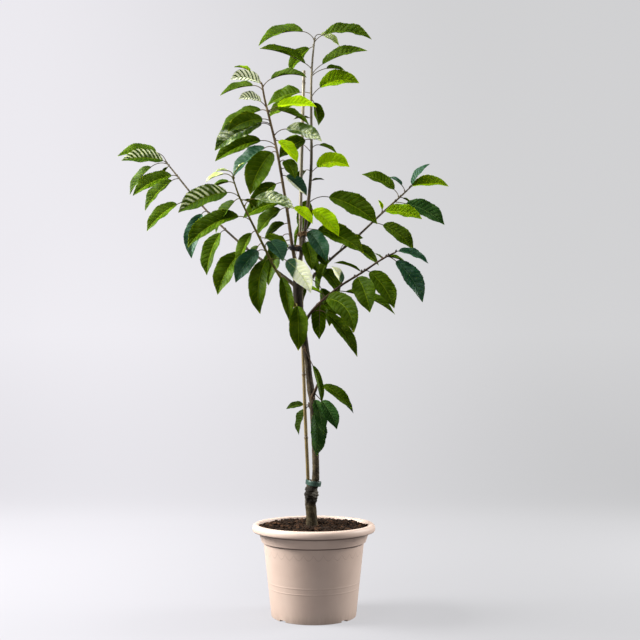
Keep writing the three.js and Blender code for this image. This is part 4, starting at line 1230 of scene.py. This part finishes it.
LOW_SPUR_RIGHT_LEAVES = [
    leaf(height=516, to=78, slope=-39, long=86, turn=55, wide=.36, stalk=.15, rise=10),
    leaf(height=512, to=106, slope=-40, long=90, turn=-20, wide=.34, stalk=.22, rise=0, tone="teal"),
    leaf(height=498, to=58, slope=-58, long=76, turn=55, stalk=.36, rise=-42, tone="dusk"),
    leaf(height=493, to=34, slope=-68, long=84, turn=20, wide=.38, stalk=.16, rise=-60, tone="dusk"),
    leaf(height=488, to=28, slope=-86, long=96, stalk=.42, rise=-72, tone="dusk"),
]
LOW_SPUR_LEFT_LEAVES = [
    leaf(height=470, to=266, slope=-14, long=42, turn=-50, wide=.5, rise=0, tone="olive"),
    leaf(height=469, to=226, slope=-70, long=64, turn=-70, wide=.58, stalk=.26, rise=-20, tone="olive"),
]
TRUNK_SHOOT_LEAVES = [
    leaf(height=599, to=52, slope=-74, long=92, turn=20, wide=.21, stalk=.5, rise=-58),
]
print("leaves on the right leader:", len(RIGHT_LEADER_LEAVES))


# %% Building a leafy limb
TONES = ["green", "fresh_glow", "lime_glow", "teal", "dusk", "glare_edged", "young", "cream_glare", "glare_striped", "glare_streaked",
         "sheen", "olive"]


def blades(name, limb, rows):
    """All blades of a limb in one mesh, with UVs and two materials per tone."""
    point_sets, materials, shades = [], [], []
    for row in rows:
        root = limb.at_height(row["height"])[0]
        point_sets.append(bend_blade(row, root) * MM)
        tone = TONES.index(row["tone"])
        materials += [2 * tone + 1 + side for side in blade_sides]
        shades += [leaf_dice.random()] * len(blade_points)
    piece = many_copies(name, point_sets, blade_faces)
    piece.data.uv_layers.new(name="blade")
    piece.data.uv_layers["blade"].data.foreach_set("uv", np.tile(blade_uv, len(rows)))
    shade = piece.data.attributes.new("shade", "FLOAT", "POINT")
    shade.data.foreach_set("value", shades)
    return piece, materials


BUD_ROWS = [(0, 1.3), (2, 1.7), (4, 1.9), (5.6, 1.3), (7, 0.25)]
STEM_SIDES = 12


def leafy_limb(name, stations, rows):
    """The wood of a limb, with a bud at each leaf, and its foliage."""
    limb = Limb(stations)
    splines = [[(place, radius * (1 + 0.05 * math.sin(place.z * 0.7))) for place, radius in limb.samples(4)]]
    for row in rows:
        root = limb.at_height(row["height"])[0]
        splines.append(stalk_rows(row, root))
        aim = Vector((0.4 * math.sin(row["to"]), -0.4 * math.cos(row["to"]), 1)).normalized()
        splines.append([(root + aim * out, radius) for out, radius in BUD_ROWS])
    wood = stems(name + "_wood", splines, STEM_SIDES)
    foliage, materials = blades(name + "_foliage", limb, rows)
    for _ in range(2 * len(TONES) + 1):
        foliage.data.materials.append(None)
    foliage.data.polygons.foreach_set("material_index", materials)
    return wood, foliage


LIMBS = {  # stations, leaves, and the bark of the stem
    "right_leader": (RIGHT_LEADER, RIGHT_LEADER_LEAVES, "dark_stem"),
    "left_leader": (LEFT_LEADER, LEFT_LEADER_LEAVES, "red_stem"),
    "inner_shoot": (INNER_SHOOT, INNER_SHOOT_LEAVES, "olive_stem"),
    "left_branch": (LEFT_BRANCH, LEFT_BRANCH_LEAVES, "dark_stem"),
    "upper_right_branch": (UPPER_RIGHT_BRANCH, UPPER_RIGHT_LEAVES, "dark_stem"),
    "lower_right_branch": (LOWER_RIGHT_BRANCH, LOWER_RIGHT_LEAVES, "brown_stem"),
    "low_spur_right": (LOW_SPUR_RIGHT, LOW_SPUR_RIGHT_LEAVES, "brown_stem"),
    "low_spur_left": (LOW_SPUR_LEFT, LOW_SPUR_LEFT_LEAVES, "brown_stem"),
    "trunk_shoot": (TRUNK_SHOOT, TRUNK_SHOOT_LEAVES, "brown_stem"),
}
limb_pieces = {name: leafy_limb(name, stations, rows) for name, (stations, rows, _) in LIMBS.items()}
for name, (wood, foliage) in limb_pieces.items():
    print(name, "wood", face_count(wood), "foliage", face_count(foliage))

# %% [markdown]
# Now the finishes. The leaf is the one that matters most, and all leaves share one effect: the vein
# network. It is worked out from the UV map, where the first number runs from base to tip and the
# second from margin to margin. Side veins are evenly spaced lines that sweep forward, so a line of
# the form "distance along minus a little of the distance out" finds them. The group only puts out
# masks, and every leaf tone colours them in its own way.


# %% Leaf veins
NET_CELLS = (55, 26)  # along and across the blade


def build_vein_group():
    group, given, result = new_group(
        "leaf_veins", {"Pairs": VEIN_PAIRS, "Lean": VEIN_LEAN},
        ("Midrib", "Veins", "Net", "Dome", "Margin", "Base", "Edge", "Half"))
    chart = add_node(group, "ShaderNodeUVMap", uv_map="blade")
    parts = add_node(group, "ShaderNodeSeparateXYZ", {"Vector": chart.outputs["UV"]})
    along, across = parts.outputs["X"], parts.outputs["Y"]
    side = minus(group, times(group, across, 2), 1)
    spread = maths(group, "ABSOLUTE", side)
    half = maths(group, "GREATER_THAN", side, 0)
    swept = times(group, maths(group, "POWER", spread, 1.2), given.outputs["Lean"])
    count = times(group, minus(group, along, swept), given.outputs["Pairs"])
    shifted = plus(group, count, times(group, half, VEIN_STAGGER))
    nearest = gap(group, maths(group, "FRACT", plus(group, shifted, 0.5)), 0.5)
    thin = minus(group, 0.075, times(group, spread, 0.045))
    cells_at = add_node(group, "ShaderNodeCombineXYZ",
                        {"X": times(group, along, NET_CELLS[0]), "Y": times(group, across, NET_CELLS[1])})
    cells = add_node(group, "ShaderNodeTexVoronoi", {"Vector": cells_at.outputs[0], "Scale": 1},
                     feature="DISTANCE_TO_EDGE")
    masks = {
        "Midrib": ramp(group, spread, 0.015, 0.045, 1, 0),
        "Veins": ramp(group, maths(group, "DIVIDE", nearest, thin), 0.3, 1, 1, 0),
        "Net": ramp(group, cells.outputs["Distance"], 0.02, 0.16, 1, 0),
        "Dome": ramp(group, nearest, 0.05, 0.45),
        "Margin": ramp(group, spread, 0.9, 1.0),
        "Edge": ramp(group, side, -0.42, -0.5),
        "Half": ramp(group, side, 0.02, -0.12),
        "Base": ramp(group, plus(group, along, times(group, side, 0.2)), 0.36, 0.3),
    }
    for name, socket in masks.items():
        group.links.new(socket, result.inputs[name])
    return group


leaf_veins = build_vein_group()
print("vein group has", len(leaf_veins.nodes), "nodes")

# %% [markdown]
# A leaf tone is one material for the upper skin and one for the lower. On the upper skin the blade
# is a waxy deep green that varies slowly over the leaf, the veins are sunk and a little paler, and
# the fine net between them breaks up the shine. The lower skin is duller and yellower, with the
# veins standing out. The domes between the veins are painted a little lighter, a painted highlight
# where light falls on their bulge, and some leaves get brighter painted highlights on those domes,
# mixed in through a patchy mask. The few odd ones use the masks of the vein group in the same
# recipe: pale painted reflections striped between the veins, a leaf painted pale all over as a
# painted reflection with painted shade at its base, a pale painted reflection along one edge, and
# patches of painted shade on a glow tone.


# %% Leaf tones
def reflection_stripe_mask(tree, veins, cloud, one_half):
    """Painted reflections on the domes between veins, whole or torn and on one half of the blade only."""
    if not one_half:
        return times(tree, ramp(tree, veins["Dome"], 0.24, 0.42), ramp(tree, cloud["Fine"], 0.3, 0.6, 0.8, 1))
    torn = plus(tree, veins["Dome"], times(tree, minus(tree, cloud["Fine"], 0.5), 1.6))
    bright = times(tree, ramp(tree, torn, 0.45, 0.7), veins["Half"])
    return times(tree, bright, ramp(tree, cloud["Broad"], 0.4, 0.52, 0.15, 0.9))


def glint_mask(tree, veins, cloud):
    """Patches of painted highlight, where the domes between the veins catch the light."""
    speckle = times(tree, ramp(tree, veins["Dome"], 0.0, 0.5, 0.35, 1),
                    ramp(tree, cloud["Fine"], 0.42, 0.56, 0.3, 1))
    return times(tree, speckle, ramp(tree, cloud["Broad"], 0.46, 0.6))


def leaf_material(name, deep, light, rib, glint=0.0, glint_colour=(214, 226, 176), rough=0.4,
                  lower=False, shaded_base=None, reflection_stripes=None, shade_patches=None, glare_edge=None,
                  one_half=False, shine=0.025, see_through=0.35, pairs=VEIN_PAIRS):
    material, tree, shader = new_material(
        name, Subsurface_Weight=see_through, Subsurface_Scale=0.0018, Subsurface_Radius=(1.0, 1.0, 0.1),
        Specular_IOR_Level=0.0 if lower else shine)
    veins = place_group(tree, leaf_veins, Pairs=pairs, Lean=VEIN_LEAN)
    cloud = place_group(tree, mottle, Broad_Scale=34, Fine_Scale=420)
    shade = add_node(tree, "ShaderNodeAttribute", attribute_name="shade").outputs["Fac"]
    slow = plus(tree, times(tree, shade, 0.55), times(tree, ramp(tree, cloud["Broad"], 0.3, 0.7), 0.45))
    colour = mix_colours(tree, slow, linear(*deep), linear(*light))
    # Painted highlight: the domes between the veins are a little lighter, where light falls on their bulge.
    colour = tint(tree, colour, veins["Dome"], 0.3, light)
    # Painted shade at the base of the pale leaf.
    if shaded_base:
        colour = tint(tree, colour, veins["Base"], 1, shaded_base)
    # Painted reflection: a pale strip along one margin.
    if glare_edge:
        colour = tint(tree, colour, veins["Edge"], 1, glare_edge)
    # Painted shade: darker patches over the blade.
    if shade_patches:
        colour = tint(tree, colour, ramp(tree, cloud["Broad"], 0.5, 0.62), 0.6, shade_patches)
    # Painted reflection: pale stripes between the veins.
    if reflection_stripes:
        colour = tint(tree, colour, reflection_stripe_mask(tree, veins, cloud, one_half), 1, reflection_stripes)
    # Painted highlight: pale glints on the domes between the veins.
    if glint:
        colour = tint(tree, colour, glint_mask(tree, veins, cloud), glint, glint_colour)
    colour = tint(tree, colour, veins["Net"], 0.16 if lower else 0.08, light)
    lines = maths(tree, "MAXIMUM", times(tree, veins["Veins"], 0.4 if lower else 0.36),
                  times(tree, veins["Midrib"], 0.45 if lower else 0.65))
    colour = tint(tree, colour, lines, 1, rib)
    colour = tint(tree, colour, veins["Margin"], 0.5, light)
    relief = plus(tree, times(tree, veins["Veins"], 1 if lower else -1),
                  times(tree, veins["Net"], 0.16 if lower else -0.12))
    relief = plus(tree, relief, times(tree, cloud["Fine"], 0.15))
    grain = ramp(tree, cloud["Fine"], 0.3, 0.7, rough - 0.06, rough + 0.1)
    finish_surface(tree, shader, colour, grain, relief, 0.55, 0.0005)
    return material


RIB = (136, 158, 30)
leaf_tones = {
    "green": dict(deep=(28, 48, 0), light=(64, 90, 0), rib=RIB, glint=0.14, glint_colour=(150, 174, 70)),
    # A yellower green, partly its own colour and partly painted glow of light through the blade, with patches
    # of painted shade.
    "fresh_glow": dict(deep=(84, 116, 0), light=(122, 152, 0), rib=(160, 180, 40), shade_patches=(56, 84, 8),
                  see_through=0.6),
    # Painted glow of light shining through the blade, on top of the real see-through.
    "lime_glow": dict(deep=(128, 166, 0), light=(170, 204, 0), rib=(200, 216, 60), see_through=0.7),
    "teal": dict(deep=(12, 50, 28), light=(32, 74, 44), rib=(90, 128, 80), glint=0.15,
                 glint_colour=(160, 190, 164), rough=0.36, shine=0.1, see_through=0.1),
    "dusk": dict(deep=(16, 44, 14), light=(44, 76, 28), rib=(104, 134, 70), glint=0.2,
                 glint_colour=(120, 150, 90), see_through=0.1),
    # A painted reflection along one margin.
    "glare_edged": dict(deep=(14, 52, 30), light=(34, 76, 46), rib=(96, 134, 88), glare_edge=(238, 242, 206),
                  shine=0.2, see_through=0.1),
    "young": dict(deep=(108, 132, 36), light=(190, 204, 128), rib=(214, 222, 160), glint=1.0,
                  glint_colour=(232, 238, 196), see_through=0.1),
    # Painted pale all over as a painted reflection, with painted shade at its base.
    "cream_glare": dict(deep=(236, 243, 190), light=(250, 254, 222), rib=(180, 200, 110),
                  shaded_base=(28, 78, 48)),
    # Painted reflections striped between the veins.
    "glare_striped": dict(deep=(36, 62, 4), light=(58, 84, 10), rib=(34, 56, 4), reflection_stripes=(250, 254, 212),
                    see_through=0.05, pairs=8),
    # Painted reflections on the half of the blade that faces the light.
    "glare_streaked": dict(deep=(36, 62, 4), light=(60, 86, 10), rib=RIB, reflection_stripes=(236, 243, 190),
                     one_half=True, see_through=0.1),
    "sheen": dict(deep=(32, 56, 2), light=(62, 90, 6), rib=RIB, glint=1.0,
                  glint_colour=(240, 248, 208), rough=0.34, shine=0.16),
    "olive": dict(deep=(24, 38, 4), light=(48, 66, 12), rib=(96, 116, 40), glint=0.1,
                  glint_colour=(130, 150, 80), see_through=0.1),
}


def underside(recipe):
    """The same tone a little duller and yellower, and matt."""
    def soften(colour):
        return tuple(min(255, round(value * 0.86 + add)) for value, add in zip(colour, (5, 7, 0)))

    return dict(recipe, deep=soften(recipe["deep"]), light=soften(recipe["light"]), glint=0,
                rough=0.55, lower=True)


leaf_materials = []
for tone in TONES:
    leaf_materials.append(leaf_material("leaf_" + tone, **leaf_tones[tone]))
    leaf_materials.append(leaf_material("leaf_under_" + tone, **underside(leaf_tones[tone])))
print(len(leaf_materials), "leaf materials")

# %% [markdown]
# Cherry bark on young wood is thin and satiny, reddish brown, and crossed by short pale corky
# marks, the lenticels. They run round the stem, so they are drawn by spots squeezed along the
# height. Older wood at the foot is dark and rough. The same recipe makes the bark of the trunk and
# of each leader, with its own two tones. The scar of the graft gets a dark grey crust, and a tint
# that comes in with the height makes the trunk darker and the tall leader paler further up.


# %% Bark
SCAR_DARK, SCAR_PALE = (24, 21, 18), (96, 92, 84)


def bark_material(name, dark, pale, mark, mark_amount=0.5, rough=0.55, relief=0.0006,
                  scar_height=None, height_tint=None):
    material, tree, shader = new_material(name, Specular_IOR_Level=0.12)
    cloud = place_group(tree, mottle, Broad_Scale=45, Fine_Scale=900)
    grain = place_group(tree, fibre, Scale=130, Stretch=0.22)
    place, parts = object_place(tree)
    squeezed = add_node(tree, "ShaderNodeVectorMath", {0: place, 1: (1, 1, 3.4)}, operation="MULTIPLY")
    spots = add_node(tree, "ShaderNodeTexVoronoi", {"Vector": squeezed.outputs[0], "Scale": 170})
    marks = times(tree, ramp(tree, spots.outputs["Distance"], 0.16, 0.3, 1, 0),
                  ramp(tree, cloud["Fine"], 0.42, 0.55))
    colour = two_tones(tree, cloud["Broad"], dark, pale)
    colour = tint(tree, colour, ramp(tree, grain["Fibre"], 0.35, 0.7), 0.5, (value * 0.6 for value in dark))
    colour = tint(tree, colour, marks, mark_amount, mark)
    # Darker further up the trunk, paler further up the tall leader.
    if height_tint:
        shade, low, high, strength = height_tint
        colour = tint(tree, colour, ramp(tree, parts["Z"], low, high), strength, shade)
    if scar_height:
        scar = ramp(tree, gap(tree, parts["Z"], scar_height), 0.014, 0.026, 1, 0)
        crust = mix_colours(tree, ramp(tree, cloud["Broad"], 0.5, 0.62),
                            linear(*SCAR_DARK), linear(*SCAR_PALE))
        colour = mix_colours(tree, times(tree, scar, 0.85), colour, crust)
    worn = ramp(tree, grain["Patches"], 0.3, 0.7, rough - 0.1, rough + 0.15)
    height = plus(tree, times(tree, grain["Fibre"], 0.7), times(tree, marks, 0.6))
    finish_surface(tree, shader, colour, worn, height, 0.8, relief)
    return material


finishes = {
    "bark": bark_material("trunk_bark", (42, 35, 23), (94, 82, 58), (130, 116, 90), rough=0.7,
                          relief=0.0014, scar_height=0.268, height_tint=((28, 22, 14), 0.4, 0.62, 0.8)),
    "red_stem": bark_material("reddish_stem", (72, 54, 34), (134, 114, 80), (180, 168, 132)),
    "dark_stem": bark_material("dark_stem", (46, 38, 28), (100, 88, 66), (166, 154, 130),
                               height_tint=((150, 142, 118), 0.95, 1.2, 0.4)),
    "olive_stem": bark_material("olive_stem", (78, 72, 24), (126, 116, 48), (176, 166, 100), mark_amount=0.3),
    "brown_stem": bark_material("brown_stem", (46, 33, 21), (84, 64, 42), (146, 128, 100)),
}
print("bark finishes:", ", ".join(finishes))

# %% [markdown]
# The pot is matt polypropylene in a warm stone colour. Moulded plastic looks flat if it is one
# colour, so there is a slow mottle, a fine pebble in the surface that softens its shine, and a
# slightly paler, scuffed rim where pots rub together in a stack. The creases under the rim and the
# collar are painted darker, as painted shade with a little dust, and a shallow scalloped line runs
# round the wall.


# %% Pot plastic
GARLAND_LOOPS = 32
GARLAND_TOP = 0.149
GARLAND_DROP = 0.011
SHADED_CREASES = ((0.1622, 0.0022), (0.1850, 0.0036))  # height and reach of the painted shade in each


def moulded_garland(tree, parts):
    """A mask of a thin scalloped line round the wall."""
    angle = maths(tree, "ARCTAN2", parts["Y"], parts["X"])
    wave = maths(tree, "ABSOLUTE", maths(tree, "SINE", times(tree, angle, GARLAND_LOOPS / 2)))
    line = minus(tree, GARLAND_TOP, times(tree, wave, GARLAND_DROP))
    return ramp(tree, gap(tree, parts["Z"], line), 0.0005, 0.0012, 1, 0)


def pot_material():
    material, tree, shader = new_material("pot_plastic", Specular_IOR_Level=0.4)
    cloud = place_group(tree, mottle, Broad_Scale=9, Fine_Scale=1400)
    streaks = place_group(tree, fibre, Scale=22, Stretch=0.12)
    _, parts = object_place(tree)
    garland = moulded_garland(tree, parts)
    colour = two_tones(tree, cloud["Broad"], (196, 172, 156), (206, 183, 167))
    colour = tint(tree, colour, ramp(tree, streaks["Patches"], 0.5, 0.75), 0.25, (214, 194, 179))
    colour = tint(tree, colour, ramp(tree, parts["Z"], 0.188, 0.202), 0.1, (226, 203, 186))
    # Painted shade, with a little dust: the creases under the rim and the collar are darkened.
    for middle, reach in SHADED_CREASES:
        crease_shade = ramp(tree, gap(tree, parts["Z"], middle), reach * 0.4, reach, 1, 0)
        colour = tint(tree, colour, crease_shade, 0.8, (74, 56, 46))
    colour = tint(tree, colour, garland, 0.22, (126, 104, 90))
    dust = times(tree, ramp(tree, parts["Z"], 0.0, 0.03, 1, 0), ramp(tree, streaks["Fibre"], 0.35, 0.65))
    colour = tint(tree, colour, dust, 0.35, (168, 146, 128))
    pebbled = ramp(tree, cloud["Fine"], 0.3, 0.7, 0.42, 0.58)
    relief = plus(tree, times(tree, cloud["Fine"], 0.25), garland)
    finish_surface(tree, shader, colour, pebbled, relief, 0.5, 0.0005)
    return material


finishes["pot"] = pot_material()
print("pot finish ready")

# %% [markdown]
# Compost is dark, matt and uneven: wet peat next to dry fibre. The bark chips in it are a shade
# paler and redder, so they get their own recipe.


# %% Compost
def compost_material(name, wet, dry, speck):
    material, tree, shader = new_material(name, Specular_IOR_Level=0.08)
    cloud = place_group(tree, mottle, Broad_Scale=70, Fine_Scale=700)
    colour = two_tones(tree, cloud["Broad"], wet, dry)
    colour = tint(tree, colour, ramp(tree, cloud["Fine"], 0.6, 0.72), 1, speck)
    matt = ramp(tree, cloud["Broad"], 0.3, 0.7, 0.7, 0.95)
    finish_surface(tree, shader, colour, matt, cloud["Fine"], 0.9, 0.0012)
    return material


finishes["soil"] = compost_material("compost_peat", (17, 10, 6), (50, 36, 25), (86, 68, 50))
finishes["chips"] = compost_material("compost_bark_chips", (48, 28, 17), (86, 60, 40), (124, 98, 70))
print("compost finishes ready")

# %% [markdown]
# Bamboo is straw-coloured with a silky skin and long fibres. It darkens at each node and greys with
# weather. The tape is glossy stretched plastic, the fork tie is dull rubber, and the twine is hairy
# jute whose fibres show as fine streaks.


# %% Cane and ties
def cane_material():
    material, tree, shader = new_material("bamboo", Specular_IOR_Level=0.3)
    grain = place_group(tree, fibre, Scale=90, Stretch=0.03)
    cloud = place_group(tree, mottle, Broad_Scale=14, Fine_Scale=800)
    _, parts = object_place(tree)
    colour = two_tones(tree, cloud["Broad"], (104, 88, 50), (136, 118, 76))
    colour = tint(tree, colour, ramp(tree, parts["Z"], 0.7, 1.0), 0.75, (166, 157, 132))
    colour = tint(tree, colour, ramp(tree, grain["Fibre"], 0.45, 0.7), 0.55, (78, 62, 36))
    rings = 0.0
    for node in CANE_NODES:
        ring = ramp(tree, gap(tree, parts["Z"], (node + 2) * MM), 0.0015, 0.006, 1, 0)
        rings = maths(tree, "MAXIMUM", rings, ring)
    colour = tint(tree, colour, rings, 0.7, (74, 58, 40))
    silky = ramp(tree, grain["Patches"], 0.3, 0.7, 0.38, 0.55)
    finish_surface(tree, shader, colour, silky, grain["Fibre"], 0.5, 0.0004)
    return material


def tie_material(name, dark, pale, rough, relief, scale=500):
    material, tree, shader = new_material(name)
    cloud = place_group(tree, mottle, Broad_Scale=60, Fine_Scale=scale)
    grain = place_group(tree, fibre, Scale=scale / 4, Stretch=2.5)
    colour = two_tones(tree, cloud["Broad"], dark, pale)
    creases = ramp(tree, grain["Fibre"], 0.55, 0.75)
    colour = tint(tree, colour, creases, 0.6, (value * 0.6 for value in dark))
    worn = ramp(tree, cloud["Fine"], 0.3, 0.7, rough - 0.08, rough + 0.12)
    finish_surface(tree, shader, colour, worn, grain["Fibre"], 0.7, relief)
    return material


finishes["cane"] = cane_material()
finishes["tape"] = tie_material("green_tape", (22, 47, 38), (46, 79, 65), rough=0.4, relief=0.0003)
finishes["tie"] = tie_material("black_rubber", (20, 20, 20), (44, 42, 40), rough=0.6, relief=0.0003)
finishes["twine"] = tie_material("jute_twine", (112, 84, 52), (164, 130, 88), rough=0.85,
                                 relief=0.0006, scale=900)
print(len(finishes), "finishes besides the leaves")

# %% [markdown]
# Last, every piece gets its finish and its place on the body, and the plain model piece that it
# stands for is hidden. Wood and foliage of a limb are one grown thing, so they are joined.


# %% Dressing the pieces
def dress(piece, node):
    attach(piece, "root")
    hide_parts(node)
    print(piece.name, "has", face_count(piece), "faces")


def paint(piece, material):
    piece.data.materials.clear()
    piece.data.materials.append(material)


for piece, node, finish in ((pot, "pot", "pot"), (trunk, "trunk", "bark"), (cane, "cane", "cane"),
                            (tape, "graft_tape", "tape"), (fork_tie, "fork_tie", "tie"),
                            (twine, "twine", "twine")):
    paint(piece, finishes[finish])
    dress(piece, node)

paint(soil, finishes["soil"])
paint(crumbs, finishes["soil"])
paint(chips, finishes["chips"])
soil = join("compost_bed", [soil, crumbs, chips])
dress(soil, "soil")

for name, (wood, foliage) in limb_pieces.items():
    for index, material in enumerate([finishes[LIMBS[name][2]], *leaf_materials]):
        foliage.data.materials[index] = material
    paint(wood, foliage.data.materials[0])
    limb_piece = join(name + "_leafy", [foliage, wood])
    smooth(limb_piece, sharp_angle=50)
    dress(limb_piece, name)
